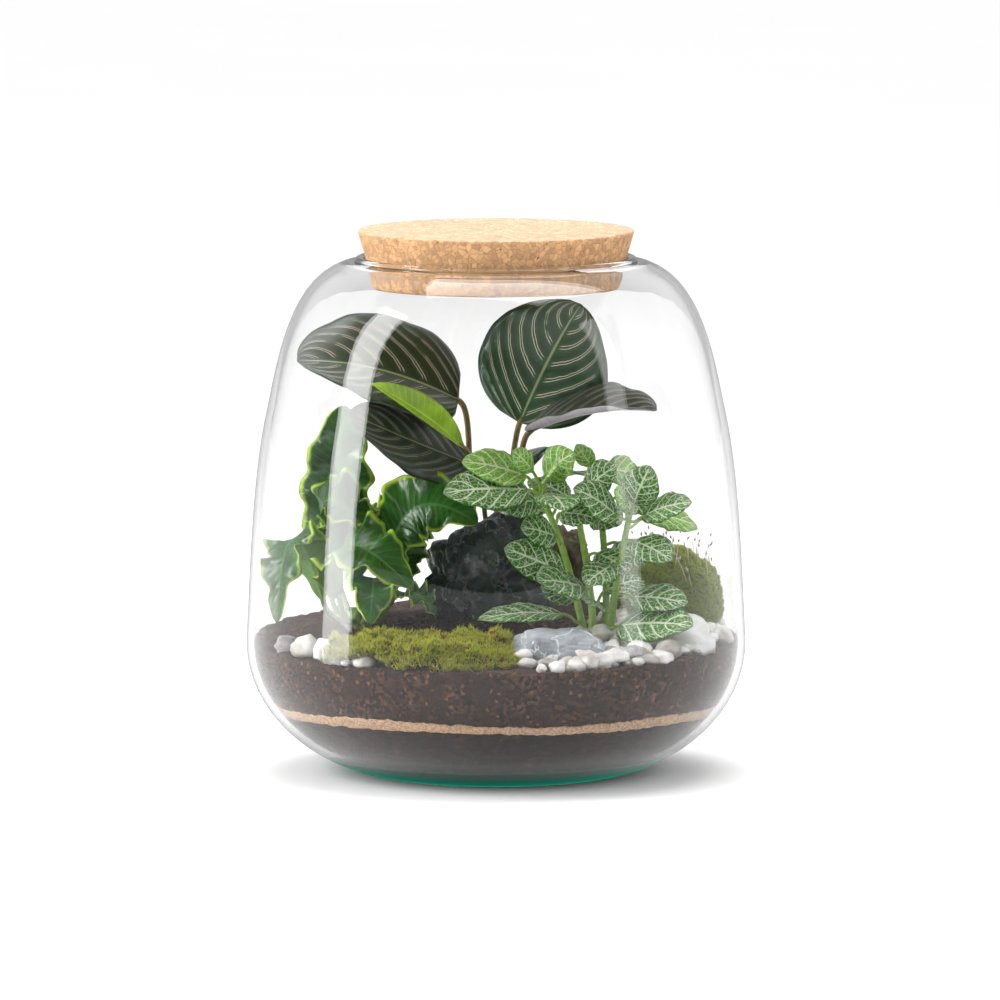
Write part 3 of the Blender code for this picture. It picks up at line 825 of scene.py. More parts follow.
class BuildPebbles(bpy.types.Operator):
    """Scatter white, grey and tan gravel round the edge"""

    bl_idname = "terrarium.build_pebbles"
    bl_label = "Gravel"

    def execute(self, context):
        rng = random.Random(31)
        corners, faces = ball(3)
        groups = {"white_stone": ([], [], []), "grey_stone": ([], [], [])}
        spots = scatter(rng, context.scene.terrarium_ground.gravel)
        for index, (spot, radii, turn, seed) in enumerate(spots):
            if index < len(FRAME_PEBBLES):
                name, slot = FRAME_PEBBLES[index][:2]
                groups[slot][2].append(name)
            else:
                slot = "white_stone" if seed % GREY_SHARE else "grey_stone"
            points, polygons, _ = groups[slot]
            start = len(points)
            points.extend(lump_points(corners, spot, radii, turn, 0.16, seed, 0.0, 0.012))
            polygons.extend(tuple(number + start for number in face) for face in faces)
        finishes = {
            "white_stone": stone_material("white_gravel", (0.66, 0.62, 0.57),
                                          (0.95, 0.94, 0.93), 55, 0.5, 0.1, 0.2),
            "grey_stone": stone_material("grey_gravel", (0.22, 0.22, 0.23),
                                         (0.62, 0.57, 0.50), 30, 0.6, 0.3, 0.3),
        }
        for slot, (points, polygons, nodes) in groups.items():
            name = "gravel_" + slot.split("_")[0]
            add_piece(name, mesh_of(name, points, polygons), [finishes[slot]], slot, *nodes)
        return {"FINISHED"}


# ---------------------------------------------------------------- mosses


class Tufts:
    """Gathers many small closed spikes into one mesh."""

    def __init__(self):
        self.points = []
        self.faces = []
        self.tones = []

    def spike(self, root, tip, width, odd, low=0.0):
        """A thin three-sided leaflet from root to tip."""
        along = (tip - root).normalized()
        side = along.orthogonal().normalized()
        other = along.cross(side)
        start = len(self.points)
        middle = root.lerp(tip, 0.4)
        self.points.append(root)
        for i in range(3):
            angle = 2 * math.pi * i / 3
            self.points.append(middle + (side * math.cos(angle) + other * math.sin(angle)) * width)
        self.points.append(tip)
        self.tones += [(low, odd)] + [(low + (1 - low) * 0.6, odd)] * 3 + [(1.0, odd)]
        for i in range(3):
            j = (i + 1) % 3
            self.faces.append((start, start + 1 + j, start + 1 + i))
            self.faces.append((start + 4, start + 1 + i, start + 1 + j))

    def star(self, rng, centre, normal, size, count, width, spread):
        """A shoot: leaflets that open round its tip."""
        odd = rng.random()
        side = normal.orthogonal().normalized()
        for i in range(count):
            turn = Matrix.Rotation(2 * math.pi * (i + rng.random() * 0.6) / count, 3, normal)
            lean = spread * rng.uniform(0.5, 1.15)
            way = (normal + (turn @ side) * lean).normalized()
            root = centre - normal * size * rng.uniform(0.2, 0.7)
            self.spike(root, root + way * size * rng.uniform(0.8, 1.3), width, odd)

    def mesh(self, name):
        return mesh_of(name, self.points, self.faces, True, {"leaf": self.tones})


def carpet_height(x, y):
    """Height of the carpet moss over the ground, 0 outside it."""
    edge = 1.0 - ((x + 33) / 52) ** 2 - ((y + 80) / 31) ** 2
    edge += 0.45 * noise.noise(Vector((x, y, 3)) * 0.06)
    if edge <= 0:
        return 0.0
    lumps = 7.5 + 5.5 * noise.noise(Vector((x, y, 8)) * 0.08)
    lumps += 2.2 * noise.noise(Vector((x, y, 9)) * 0.3)
    return max(0.8, min(1.0, edge * 2.2) * (lumps + 2.5))


class BuildCarpetMoss(bpy.types.Operator):
    """Grow the starry carpet moss at the front"""

    bl_idname = "terrarium.build_carpet_moss"
    bl_label = "Carpet moss"

    def execute(self, context):
        look = context.scene.terrarium_ground
        rng = random.Random(12)
        tufts = Tufts()
        placed = 0
        while placed < look.shoots:
            x, y = rng.uniform(-84, 36), rng.uniform(-114, -50)
            height = carpet_height(x, y)
            if not height or math.hypot(x, y) > inner_radius(68) - 2.5:
                continue
            if ((x - 30) / 27) ** 2 + ((y + 78) / 18) ** 2 < 0.85:
                continue
            placed += 1
            lean = Vector((rng.gauss(0, 0.28), rng.gauss(-0.12, 0.28), 1)).normalized()
            centre = Vector((x, y, ground(x, y) + height * rng.uniform(0.7, 1.1)))
            tufts.star(rng, centre, lean, rng.uniform(2.6, 4.4), 9, 0.34, 0.9)
        for _ in range(70):
            x, y = rng.uniform(-84, -40), rng.uniform(-96, -60)
            root = Vector((x, y, ground(x, y) + 2))
            tip = root + Vector((rng.gauss(0, 3), rng.gauss(0, 2), rng.uniform(7, 13)))
            tufts.spike(root, tip, 0.28, 0.99, 0.6)
        finish = moss_material("carpet_moss_shoots", look.moss, (0.10, 0.13, 0.008), 0.08)
        add_piece("moss_carpet", tufts.mesh("moss_carpet"), [finish], "carpet_moss", "carpet_moss")
        return {"FINISHED"}


class BuildCushionMoss(bpy.types.Operator):
    """Grow the cushion moss at the right with its capsules on thin stalks"""

    bl_idname = "terrarium.build_cushion_moss"
    bl_label = "Cushion moss"

    def execute(self, context):
        rng = random.Random(14)
        tufts = Tufts()
        corners, faces = ball(4)
        low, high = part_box("cushion_moss")
        centre = (Vector(low) + Vector(high)) / 2 / MM
        centre = Vector((centre.x, centre.y, 74))
        radii = Vector((28, 30, 33))
        base = lump_points(corners, centre, radii * 0.93, 0, 0.08, 22, 0, 0.02)
        tops = []
        for _ in range(4200):
            way = Vector((rng.gauss(0, 1), rng.gauss(0, 1), abs(rng.gauss(0, 1)))).normalized()
            swell = 1 + 0.16 * noise.noise(way * 1.7 + Vector((22, 0, 0)))
            swell += 0.05 * noise.noise(way * 7)
            spot = centre + Vector([a * r * swell for a, r in zip(way, radii)])
            if math.hypot(spot.x, spot.y) > inner_radius(max(70, spot.z)) - 2.5:
                continue
            tufts.star(rng, spot, way, rng.uniform(1.8, 2.8), 5, 0.32, 0.55)
            tops.append((spot, way))
        start = len(tufts.points)
        tufts.points.extend(base)
        tufts.tones += [(0.35, 0.0)] * len(base)
        tufts.faces += [tuple(number + start for number in face) for face in faces]
        finish = moss_material("cushion_moss_shoots", (0.46, 0.56, 0.04), (0.10, 0.15, 0.012), 0.02)
        add_piece("moss_cushion", tufts.mesh("moss_cushion"), [finish], "cushion_moss",
                  "cushion_moss")
        stalks = Tufts()
        for spot, way in tops:
            if way.z < 0.55 or rng.random() > 0.022:
                continue
            tip = spot + Vector((rng.gauss(0, 3), rng.gauss(0, 3), rng.uniform(8, 15)))
            stalks.spike(spot, tip, 0.3, 0.2, 0.1)
            stalks.spike(tip - Vector((0, 0, 0.6)), tip + Vector((rng.gauss(0, 1), -1, 2.4)), 0.75, 0.99)
        finish = moss_material("moss_capsule", (0.90, 0.78, 0.74), (0.70, 0.48, 0.44), 0.0)
        add_piece("moss_capsules", stalks.mesh("moss_capsules"), [finish], "cushion_moss")
        return {"FINISHED"}


# ---------------------------------------------------------------- leaves


class Kind(NamedTuple):
    """What all leaves of one plant share. The belly places the widest point, a smaller blunt
    makes a rounder outline, droop bends the margins down and pucker lifts the skin in bumps."""

    slot: str
    belly: float
    blunt: float
    thickness: float
    stalk_radius: float
    rows: int
    columns: int
    ripples: float = 0
    ripple_height: float = 0
    droop: float = 0.0
    pucker: float = 0.0


CALATHEA = Kind("calathea", 0.80, 0.56, 0.5, 1.5, 48, 25, 2.0, 1.0, 0.10)
BROAD_CALATHEA = CALATHEA._replace(belly=0.64)
SPEAR = Kind("young_leaf", 0.90, 0.70, 0.7, 1.3, 32, 15)
FERN = Kind("fern", 0.92, 0.60, 0.55, 1.5, 64, 21, 4.6, 3.6, 0.05)
FITTONIA = Kind("fittonia", 0.84, 0.66, 0.45, 0.8, 28, 17, 3.0, 0.5, 0.16, 0.4)


STALK_STEPS = 18


class Leaf(NamedTuple):
    """Where a stalk starts and how it leaves, three points of the midrib, the side that the
    upper face looks to, the width, the fold in degrees and a point that steers the stalk."""

    name: str
    node: str
    kind: Kind
    root: tuple
    leave: tuple
    base: tuple
    via: tuple
    tip: tuple
    face: tuple
    width: float
    fold: float = 12
    bend: tuple = None


def frame_at(leaf, curve, t):
    """The point on a midrib or stalk with its sideways and upward directions."""
    step = 0.01
    here = bezier(curve, t)
    along = (bezier(curve, min(1, t + step)) - bezier(curve, max(0, t - step))).normalized()
    side = (Vector(leaf.tip) - Vector(leaf.base)).cross(Vector(leaf.face)).normalized()
    up = side.cross(along).normalized()
    return here, along.cross(up).normalized(), up


def half_width(leaf, t):
    bulge = math.sin(math.pi * min(t, 0.9999) ** leaf.kind.belly) ** leaf.kind.blunt
    return max(leaf.kind.stalk_radius * (1 - t) ** 3, 0.12, leaf.width / 2 * bulge)


def blade_point(leaf, t, s, seed):
    here, side, up = frame_at(leaf, (leaf.base, leaf.via, leaf.tip), t)
    kind = leaf.kind
    half = half_width(leaf, t)
    reach = half * s
    phase = seed * 1.7 + (0.9 if s > 0 else 2.6)
    wave = math.sin(2 * math.pi * kind.ripples * t + phase)
    wave += 0.45 * math.sin(2 * math.pi * kind.ripples * 2.3 * t + phase * 2)
    ripple = kind.ripple_height * wave * abs(s) ** 2.4 * min(1, 3 * t) * min(1, 4 * (1 - t))
    lift = half * (math.tan(math.radians(leaf.fold)) * abs(s) - kind.droop * s ** 4)
    bumps = kind.pucker * noise.noise(Vector((t * 9, s * 4.5, seed)))
    sway = 0
    if kind.ripples > 4:
        sway = 0.10 * half * abs(s) * math.sin(math.pi * 2 * kind.ripples * t + phase + 1)
    return here + side * (reach - sway * s) + up * (lift + ripple + bumps)


def stalk_curve(leaf):
    """The stalk leaves square to what it grows from and runs into the blade's line."""
    root, base = Vector(leaf.root), Vector(leaf.base)
    reach = min(8, (base - root).length * 0.4)
    into = (base - Vector(leaf.via)).normalized()
    curve = [root, root + Vector(leaf.leave).normalized() * reach]
    if leaf.bend:
        curve.append(Vector(leaf.bend))
    return curve + [base + into * reach, base]


class Form:
    """A mesh in the making. Its maps tell where on a leaf a point lies: "leaf" as shares of
    length and width, which are -0.5 and 0.5 on a stalk, and "measure" in centimetres."""

    def __init__(self):
        self.points = []
        self.faces = []
        self.shares = []
        self.measures = []

    def add(self, point, share=(-0.5, 0.5), measure=(0.0, 0.0)):
        self.points.append(point)
        self.shares.append(share)
        self.measures.append(measure)
        return len(self.points) - 1

    def tube(self, line, radii, sides=10):
        """Adds a closed round tube along a line of points."""
        rings = [[self.add(line[0])]]
        side = (line[1] - line[0]).orthogonal().normalized()
        for index, here in enumerate(line):
            ahead = line[min(index + 1, len(line) - 1)] - line[max(index - 1, 0)]
            along = ahead.normalized()
            side = (side - along * side.dot(along)).normalized()
            up = along.cross(side)
            angles = [2 * math.pi * i / sides for i in range(sides)]
            rings.append([
                self.add(here + radii[index] * (side * math.cos(angle) + up * math.sin(angle)))
                for angle in angles
            ])
        rings.append([self.add(line[-1])])
        self.faces += skin(rings)

    def mesh(self, name):
        maps = {"leaf": self.shares, "measure": self.measures}
        return mesh_of(name, self.points, self.faces, True, maps)


def leaf_mesh(leaf, seed):
    """A closed blade with its stalk: upper side, underside and stalk have their own slots."""
    kind = leaf.kind
    form = Form()
    blade_length = (Vector(leaf.tip) - Vector(leaf.base)).length
    sheets = []
    for sign in (1, -1):
        grid = []
        for row in range(kind.rows + 1):
            t = row / kind.rows
            line = []
            for column in range(kind.columns):
                s = 2 * column / (kind.columns - 1) - 1
                edge = abs(s) > 0.999 or row == kind.rows
                if edge and sign < 0:
                    line.append(sheets[0][row][column])
                    continue
                _, _, up = frame_at(leaf, (leaf.base, leaf.via, leaf.tip), t)
                rib = 1 + 1.6 * max(0, 1 - abs(s) * kind.columns / 5) * (sign < 0)
                offset = 0 if edge else sign * kind.thickness / 2 * rib
                measure = (t * blade_length / 10, s * leaf.width / 20)
                point = blade_point(leaf, t, s, seed) + up * offset
                line.append(form.add(point, (t, (s + 1) / 2), measure))
            grid.append(line)
        sheets.append(grid)
        for low, high in zip(grid, grid[1:]):
            for i in range(kind.columns - 1):
                corners = (low[i], low[i + 1], high[i + 1], high[i])
                form.faces.append(corners[::-sign])
    form.faces.append(tuple(sheets[0][0] + sheets[1][0][1:-1][::-1]))
    stalk = [bezier(stalk_curve(leaf), i / STALK_STEPS) for i in range(STALK_STEPS + 1)]
    radii = [kind.stalk_radius] * len(stalk) + [kind.stalk_radius * 0.4]
    stalk.append(stalk[-1] + (Vector(leaf.via) - Vector(leaf.base)).normalized() * 3)
    blade_faces = len(form.faces)
    form.tube(stalk, radii)
    mesh = form.mesh(leaf.name)
    upper_faces = kind.rows * (kind.columns - 1)
    slots = [0] * upper_faces + [1] * (blade_faces - upper_faces)
    slots += [2] * (len(form.faces) - blade_faces)
    mesh.polygons.foreach_set("material_index", slots)
    return mesh


def add_leaf(leaf, seed, materials):
    nodes = [leaf.node] if leaf.node else []
    return add_piece(leaf.name, leaf_mesh(leaf, seed), materials, leaf.kind.slot, *nodes)


class Crown(NamedTuple):
    """The short thick stem at the heart of a plant."""

    plant: str
    x: float
    y: float
    radius: float
    height: float
    stalk_height: float

    def low(self):
        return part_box(self.plant + "_crown")[0][2] / MM

    def stalk(self, degrees):
        angle = math.radians(degrees)
        away = Vector((math.cos(angle), math.sin(angle), 0))
        middle = Vector((self.x, self.y, self.low() - GAP + self.stalk_height))
        return tuple(middle + away * (self.radius - 1)), tuple(away)


FERN_CROWN = Crown("fern", -67, -8, 7.5, 11, 5)
CALATHEA_CROWN = Crown("calathea", -3, 42, 6.5, 13, 7)


def add_crown(crown, finish):
    """A knobbly crown built from overlapping stalk bases."""
    form = Form()
    rng = random.Random(len(crown.plant))
    for i in range(11):
        angle = 2.4 * i
        away = Vector((math.cos(angle), math.sin(angle), 0)) * crown.radius * 0.55 * math.sqrt(i / 10)
        root = Vector((crown.x, crown.y, crown.low())) + away
        line = [root + Vector((0, 0, crown.height * share)) + away * share * 0.35
                for share in (0, 0.25, 0.5, 0.75, 1.0)]
        thick = crown.radius * rng.uniform(0.30, 0.42)
        form.tube(line, [thick * swell for swell in (0.9, 1, 0.95, 0.8, 0.35)])
    name = crown.plant + "_heart"
    add_piece(name, form.mesh(name), [finish], "stem", crown.plant + "_crown")


def calathea_leaves():
    stalk = CALATHEA_CROWN.stalk
    kind = CALATHEA
    return (
        Leaf("calathea_blade_1", "calathea_leaf_1", BROAD_CALATHEA, *stalk(180), (-19, 18, 184),
             (-60, 10, 206), (-99, -6, 206), (0.1, -0.51, 0.82), 82, 15, (-12, 36, 160)),
        Leaf("calathea_blade_2", "calathea_leaf_2", kind, *stalk(215), (-14, 4, 154),
             (-40, -18, 166), (-73, -35, 183), (0.1, -0.8, 0.6), 42, 10, (-12, 27, 147)),
        Leaf("calathea_blade_3", "calathea_leaf_3", kind, *stalk(30), (12, 34, 171),
             (26, 36, 205), (43, 26, 233), (-0.25, -0.95, 0.15), 70, 8, (4, 48, 130)),
        Leaf("calathea_blade_4", "calathea_leaf_4", kind, *stalk(330), (17, 18, 168),
             (48, 0, 184), (80, -12, 182), (-0.05, -0.25, 0.97), 40, 28, (12, 30, 140)),
        Leaf("calathea_spear", "calathea_leaf_5", SPEAR, *stalk(270), (-17, -12, 164),
             (-36, -34, 184), (-61, -48, 199), (0.2, -0.8, 0.55), 15, 38, (-4, 24, 156)),
        Leaf("calathea_blade_6", "calathea_leaf_6", kind, *stalk(90), (2, 66, 140),
             (4, 84, 158), (10, 98, 136), (0, 0.35, 0.93), 46, 14, (-1, 58, 110)),
    )


def fern_leaves():
    stalk = FERN_CROWN.stalk
    fronds = (
        (115, (-79, 4, 98), (-82, 12, 140), (-76, 16, 182), (-0.15, -0.98, 0.1), 36, 10),
        (160, (-84, -8, 96), (-96, -12, 170), (-58, -22, 114), (0.35, -0.55, 0.75), 38, 8),
        (235, (-78, -26, 90), (-86, -46, 143), (-41, -58, 98), (0.15, -0.6, 0.78), 42, 10),
        (200, (-86, -20, 88), (-104, -30, 156), (-107, -50, 80), (-0.7, -0.55, 0.45), 32, 6),
        (340, (-55, -12, 94), (-50, -20, 156), (-9, -29, 127), (0.45, -0.65, 0.6), 36, 10),
        (35, (-51, 0, 92), (-44, 0, 112), (-37, 0, 138), (0.55, -0.8, -0.1), 24, 6),
        (275, (-64, -28, 84), (-58, -52, 122), (-62, -74, 82), (0.1, -0.3, 0.95), 26, 8),
        (62, (-58, 10, 96), (-53, 25, 137), (-43, 45, 128), (0.15, 0.1, 0.98), 26, 9),
        (88, (-70, 14, 94), (-75, 37, 147), (-85, 63, 110), (-0.15, 0.4, 0.9), 32, 9),
        (300, (-55, -26, 84), (-42, -44, 104), (-30, -46, 84), (0.2, -0.2, 0.95), 20, 8),
    )
    return [Leaf(f"fern_blade_{i}", f"fern_frond_{i}", FERN, *stalk(frond[0]), *frond[1:])
            for i, frond in enumerate(fronds, 1)]


class BuildCalathea(bpy.types.Operator):
    """Grow the pinstripe calathea at the back"""

    bl_idname = "terrarium.build_calathea"
    bl_label = "Calathea"

    def execute(self, context):
        look = context.scene.terrarium_plants
        dark = calathea_material("calathea_upper", look.calathea, look.pinstripe)
        grey = calathea_material("calathea_grey", (0.03, 0.042, 0.03), (0.50, 0.42, 0.40))
        green = calathea_material("calathea_green", (0.012, 0.050, 0.013), (0.88, 0.74, 0.62))
        under = plain_leaf_material("calathea_under", (0.075, 0.045, 0.048), 0.5, 0.1)
        lime = plain_leaf_material("young_calathea", (0.36, 0.52, 0.04), 0.35, 0.35)
        petiole = stem_material((0.20, 0.15, 0.05))
        uppers = (dark, grey, green, grey, lime, dark)
        for seed, (leaf, upper) in enumerate(zip(calathea_leaves(), uppers)):
            below = lime if upper == lime else under
            add_leaf(leaf, seed, [upper, below, petiole])
        add_crown(CALATHEA_CROWN, petiole)
        return {"FINISHED"}


class BuildFern(bpy.types.Operator):
    """Grow the crisped nest fern at the left"""

    bl_idname = "terrarium.build_fern"
    bl_label = "Nest fern"

    def execute(self, context):
        look = context.scene.terrarium_plants
        upper = plain_leaf_material("fern_upper", look.fern, 0.24, 0.2, 22.0,
                                    look.fern_edge)
        under = plain_leaf_material("fern_under", (0.13, 0.32, 0.03), 0.4, 0.42, 22.0,
                                    look.fern_edge)
        stalk = stem_material((0.16, 0.26, 0.05))
        for seed, leaf in enumerate(fern_leaves()):
            add_leaf(leaf, seed + 3, [upper, under, stalk])
        add_crown(FERN_CROWN, stalk)
        return {"FINISHED"}


# Nerve plant stems: the foot on the root ball, then points that steer the stem
STEM_RADIUS = 1.7
STEMS = (
    ((45, -34), (39, -36, 96), (33, -34, 122), (20, -36, 146)),
    ((48, -26), (49, -22, 92), (43, -16, 114), (40, -18, 137)),
    ((56, -33), (58, -34, 90), (62, -34, 112), (66, -36, 132)),
    ((54, -24), (56, -16, 92), (54, -8, 120), (50, -8, 148)),
)


def stem_curve(stem):
    (x, y), *rest = STEMS[stem]
    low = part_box(f"fittonia_stem_{stem + 1}")[0][2] / MM
    return [(x, y, low)] + rest


class Nerve(NamedTuple):
    """A nerve plant leaf: where on which stem, its stalk's end, its tip and how it lies."""

    stem: int
    at: float
    base: tuple
    tip: tuple
    face: tuple
    width: float
    arch: float = 4
    fold: float = 10
    young: bool = False


NERVE_LEAVES = (
    Nerve(0, 0.99, (15, -40, 152), (-17, -48, 160), (0.1, -0.62, 0.78), 25, young=True),
    Nerve(0, 0.99, (24, -38, 152), (39, -42, 164), (-0.25, -0.8, 0.55), 21, young=True),
    Nerve(0, 0.93, (16, -46, 146), (-26, -62, 146), (0.05, -0.65, 0.76), 30),
    Nerve(0, 0.90, (27, -46, 143), (34, -68, 138), (0.1, -0.4, 0.9), 24),
    Nerve(0, 0.80, (28, -28, 136), (4, -24, 133), (0, -0.5, 0.86), 22),
    Nerve(1, 0.99, (44, -22, 142), (60, -30, 156), (-0.35, -0.75, 0.55), 21),
    Nerve(1, 0.96, (36, -14, 138), (16, -4, 146), (0, -0.3, 0.95), 22),
    Nerve(3, 0.99, (55, -8, 152), (74, -4, 146), (0.1, -0.6, 0.8), 24, young=True),
    Nerve(3, 0.94, (46, -2, 148), (34, 16, 146), (0, 0.2, 0.97), 22),
    Nerve(2, 0.97, (60, -40, 132), (38, -50, 147), (0.3, -0.6, 0.7), 26),
    Nerve(2, 0.99, (68, -40, 138), (76, -46, 158), (-0.2, -0.9, 0.2), 20),
    Nerve(2, 0.96, (72, -42, 132), (96, -50, 140), (0.0, -0.5, 0.86), 24),
    Nerve(2, 0.90, (74, -28, 130), (100, -22, 124), (0.3, -0.4, 0.86), 24, 6, young=True),
    Nerve(0, 0.45, (34, -44, 104), (4, -54, 118), (-0.2, -0.8, 0.5), 22),
    Nerve(1, 0.40, (44, -44, 97), (20, -66, 103), (-0.1, -0.7, 0.7), 26),
    Nerve(2, 0.35, (66, -42, 92), (94, -56, 90), (0.2, -0.6, 0.75), 24),
    Nerve(2, 0.12, (60, -46, 78), (96, -70, 81), (-0.1, -0.55, 0.8), 31),
    Nerve(0, 0.14, (33, -46, 84), (-9, -60, 83), (0, -0.3, 0.95), 24),
)
# Leaves that only the visual model has; they fill the bush between the ones above
FILLERS = (
    Nerve(0, 0.97, (18, -42, 155), (8, -50, 166), (0, -0.8, 0.5), 12, young=True),
    Nerve(0, 0.95, (24, -44, 150), (30, -56, 158), (0, -0.7, 0.7), 14, young=True),
    Nerve(0, 0.88, (20, -44, 140), (0, -56, 138), (0, -0.8, 0.6), 19),
    Nerve(0, 0.75, (32, -42, 134), (50, -54, 132), (0.2, -0.7, 0.6), 18),
    Nerve(0, 0.62, (30, -42, 122), (12, -54, 128), (0, -0.8, 0.6), 20),
    Nerve(1, 0.85, (48, -24, 130), (62, -38, 128), (0.2, -0.8, 0.5), 18),
    Nerve(1, 0.60, (50, -26, 112), (66, -40, 104), (0.3, -0.8, 0.4), 20),
    Nerve(3, 0.97, (48, -12, 154), (40, -20, 166), (-0.2, -0.9, 0.2), 10, young=True),
    Nerve(3, 0.85, (60, -10, 138), (80, -14, 134), (0.2, -0.7, 0.7), 22),
    Nerve(3, 0.60, (60, -14, 116), (74, -26, 106), (0.4, -0.8, 0.4), 22),
    Nerve(2, 0.98, (64, -42, 138), (58, -52, 146), (0, -0.8, 0.6), 12, young=True),
    Nerve(2, 0.80, (68, -42, 120), (86, -58, 112), (0.2, -0.8, 0.5), 20),
    Nerve(2, 0.62, (58, -42, 108), (44, -58, 100), (-0.2, -0.8, 0.5), 18),
    Nerve(2, 0.25, (54, -44, 86), (44, -62, 92), (-0.2, -0.8, 0.6), 16),
    Nerve(1, 0.25, (54, -18, 92), (74, -6, 96), (0.3, -0.4, 0.8), 20),
    Nerve(0, 0.30, (38, -40, 90), (22, -48, 98), (-0.2, -0.8, 0.6), 14),
)


def nerve_leaf(name, node, nerve):
    curve = stem_curve(nerve.stem)
    here = bezier(curve, nerve.at)
    along = (here - bezier(curve, nerve.at - 0.05)).normalized()
    away = (Vector(nerve.base) - here).normalized()
    away = (away - along * away.dot(along)).normalized()
    middle = (Vector(nerve.base) + Vector(nerve.tip)) / 2
    via = middle + Vector(nerve.face).normalized() * nerve.arch
    return Leaf(name, node, FITTONIA, tuple(here + away * 0.8), tuple(away), nerve.base,
                tuple(via), nerve.tip, nerve.face, nerve.width, nerve.fold)


class BuildFittonia(bpy.types.Operator):
    """Grow the nerve plants at the right"""

    bl_idname = "terrarium.build_fittonia"
    bl_label = "Nerve plants"

    def execute(self, context):
        look = context.scene.terrarium_plants
        field = look.fittonia
        upper = nerve_material("nerve_leaf", field, look.nerve, 1.0)
        young = nerve_material("young_nerve_leaf", (0.17, 0.42, 0.03), (0.86, 0.93, 0.60), 0.8)
        under = plain_leaf_material("nerve_leaf_under", (0.26, 0.42, 0.12), 0.55, 0.35)
        stalk = stem_material((0.26, 0.42, 0.08))
        for number, nerve in enumerate(NERVE_LEAVES, 1):
            leaf = nerve_leaf(f"nerve_blade_{number}", f"fittonia_leaf_{number}", nerve)
            add_leaf(leaf, number, [young if nerve.young else upper, under, stalk])
        for number, nerve in enumerate(FILLERS, 1):
            leaf = nerve_leaf(f"nerve_filler_{number}", None, nerve)
            add_leaf(leaf, number + 40, [young if nerve.young else upper, under, stalk])
        for stem in range(len(STEMS)):
            form = Form()
            curve = stem_curve(stem)
            line = [bezier(curve, i / 40) for i in range(41)]
            radii = [STEM_RADIUS * (1.1 - 0.25 * i / 40 + 0.12 * math.sin(i * 0.9) ** 8)
                     for i in range(41)]
            form.tube(line, radii, 14)
            name = f"nerve_stem_{stem + 1}"
            add_piece(name, form.mesh(name), [stalk], "stem", f"fittonia_stem_{stem + 1}")
        return {"FINISHED"}


# ---------------------------------------------------------------- stage


MIDDLE = (0, 0, 0.14)
FLOOR_REACH = 9000
CAMERA_PLACE = (0, -5.0, 0.70)
CAMERA_AIM = (0, 0, 0.135)
CAMERA_LENS = 362.3
CAMERA_SHIFT = (0.004, 0.0016)
# How bright glass sees the room, from behind the camera to beyond the jar
ROOM = (("From Min", -0.35), ("From Max", 0.55), ("To Min", 0.02), ("To Max", 0.62))


def stand(name, data, place, aim):
    """Puts a light or camera at a place, in metres, and turns it towards its aim."""
    made = bpy.data.objects.new(name, data)
    made.location = place
    made.rotation_euler = (Vector(aim) - Vector(place)).to_track_quat("-Z", "Y").to_euler()
    bpy.context.scene.collection.objects.link(made)
    return made


def soft_light(name, place, width, height, power):
    lamp = bpy.data.lights.new(name, "AREA")
    lamp.shape = "RECTANGLE"
    lamp.size = width
    lamp.size_y = height
    lamp.energy = power
    stand(name, lamp, place, MIDDLE)


def build_room():
    """A white room that lights evenly; in the glass it is dark on the camera's side."""
    world = bpy.data.worlds.new("studio")
    bpy.context.scene.world = world
    world.use_nodes = True
    tree = world.node_tree
    path = tree.nodes.new("ShaderNodeLightPath")
    way = tree.nodes.new("ShaderNodeTexCoord")
    parts = tree.nodes.new("ShaderNodeSeparateXYZ")
    room = tree.nodes.new("ShaderNodeMapRange")
    for socket, value in ROOM:
        room.inputs[socket].default_value = value
    strength = tree.nodes.new("ShaderNodeMix")
    strength.inputs[2].default_value = 1.0
    background = tree.nodes["Background"]
    background.inputs["Color"].default_value = (1, 1, 1, 1)
    tree.links.new(way.outputs["Generated"], parts.inputs[0])
    tree.links.new(parts.outputs[1], room.inputs["Value"])
    tree.links.new(room.outputs[0], strength.inputs[3])
    tree.links.new(path.outputs["Is Glossy Ray"], strength.inputs[0])
    tree.links.new(strength.outputs[0], background.inputs["Strength"])


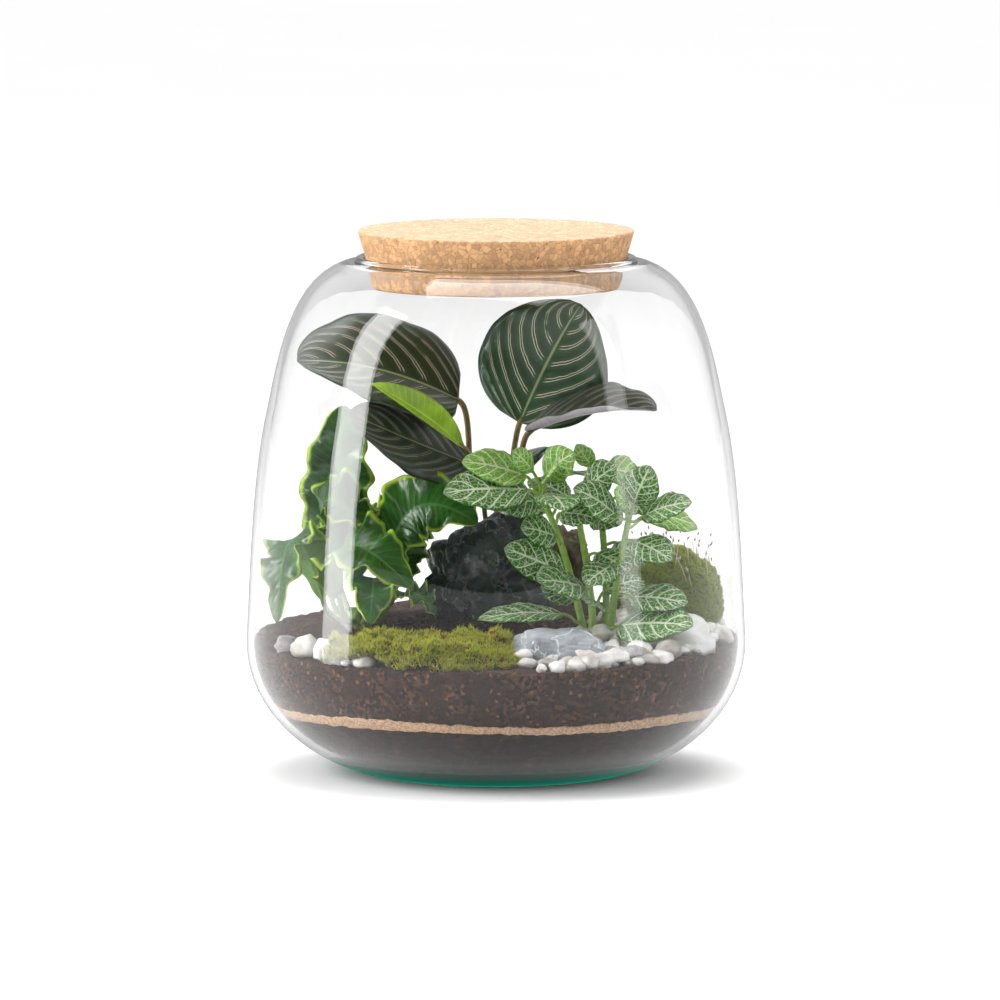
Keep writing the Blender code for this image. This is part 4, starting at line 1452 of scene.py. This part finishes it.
class BuildStage(bpy.types.Operator):
    """Lay the pale floor and set the soft lights and the camera"""

    bl_idname = "terrarium.build_stage"
    bl_label = "Stage"

    def execute(self, context):
        look = context.scene.terrarium_stage
        scene = context.scene
        scene.view_settings.view_transform = "Standard"
        corners = [(x * FLOOR_REACH, y * FLOOR_REACH, 0)
                   for x, y in ((-1, -1), (1, -1), (1, 1), (-1, 1))]
        mesh = mesh_of("floor", corners, [(0, 1, 2, 3)], False)
        finish = Recipe("pale_floor", specular_ior_level=0.0)
        finish.paint(finish.mix(finish.noise(3, 2.0), look.floor, (1.0, 1.0, 1.0)), 0.9)
        mesh.materials.append(finish.material)
        floor = bpy.data.objects.new("floor", mesh)
        floor.visible_glossy = False
        scene.collection.objects.link(floor)
        soft_light("key", (-1.56, -0.36, 0.70), 0.50, 1.9, look.key)
        soft_light("fill", (1.55, -0.75, 0.75), 0.35, 1.7, 5)
        soft_light("top", (0.1, 0.25, 1.7), 1.3, 1.1, 17)
        build_room()
        lens = bpy.data.cameras.new("camera")
        lens.lens = CAMERA_LENS
        lens.sensor_width = 36
        lens.shift_x, lens.shift_y = CAMERA_SHIFT
        lens.clip_end = 100
        scene.camera = stand("camera", lens, CAMERA_PLACE, CAMERA_AIM)
        return {"FINISHED"}


# ---------------------------------------------------------------- add-on

BUILDERS = (
    BuildStage,
    BuildJar,
    BuildLid,
    BuildGround,
    BuildStones,
    BuildPebbles,
    BuildCarpetMoss,
    BuildCushionMoss,
    BuildCalathea,
    BuildFern,
    BuildFittonia,
)


class TerrariumPanel(bpy.types.Panel):
    """Buttons and settings of the terrarium"""

    bl_idname = "VIEW3D_PT_terrarium"
    bl_label = "Plant terrarium"
    bl_space_type = "VIEW_3D"
    bl_region_type = "UI"
    bl_category = "Terrarium"

    def draw(self, context):
        layout = self.layout
        for name, group in SETTINGS.items():
            box = layout.box()
            for field in group.__annotations__:
                box.prop(getattr(context.scene, name), field)
        for builder in BUILDERS:
            layout.operator(builder.bl_idname)


CLASSES = (*SETTINGS.values(), *BUILDERS, TerrariumPanel)


def register():
    for made in CLASSES:
        bpy.utils.register_class(made)
    for name, group in SETTINGS.items():
        setattr(bpy.types.Scene, name, bpy.props.PointerProperty(type=group))


def unregister():
    for name in SETTINGS:
        delattr(bpy.types.Scene, name)
    for made in reversed(CLASSES):
        bpy.utils.unregister_class(made)


def main():
    register()
    for builder in BUILDERS:
        area, name = builder.bl_idname.split(".")
        getattr(getattr(bpy.ops, area), name)()
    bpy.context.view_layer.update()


if __name__ == "__main__":
    main()
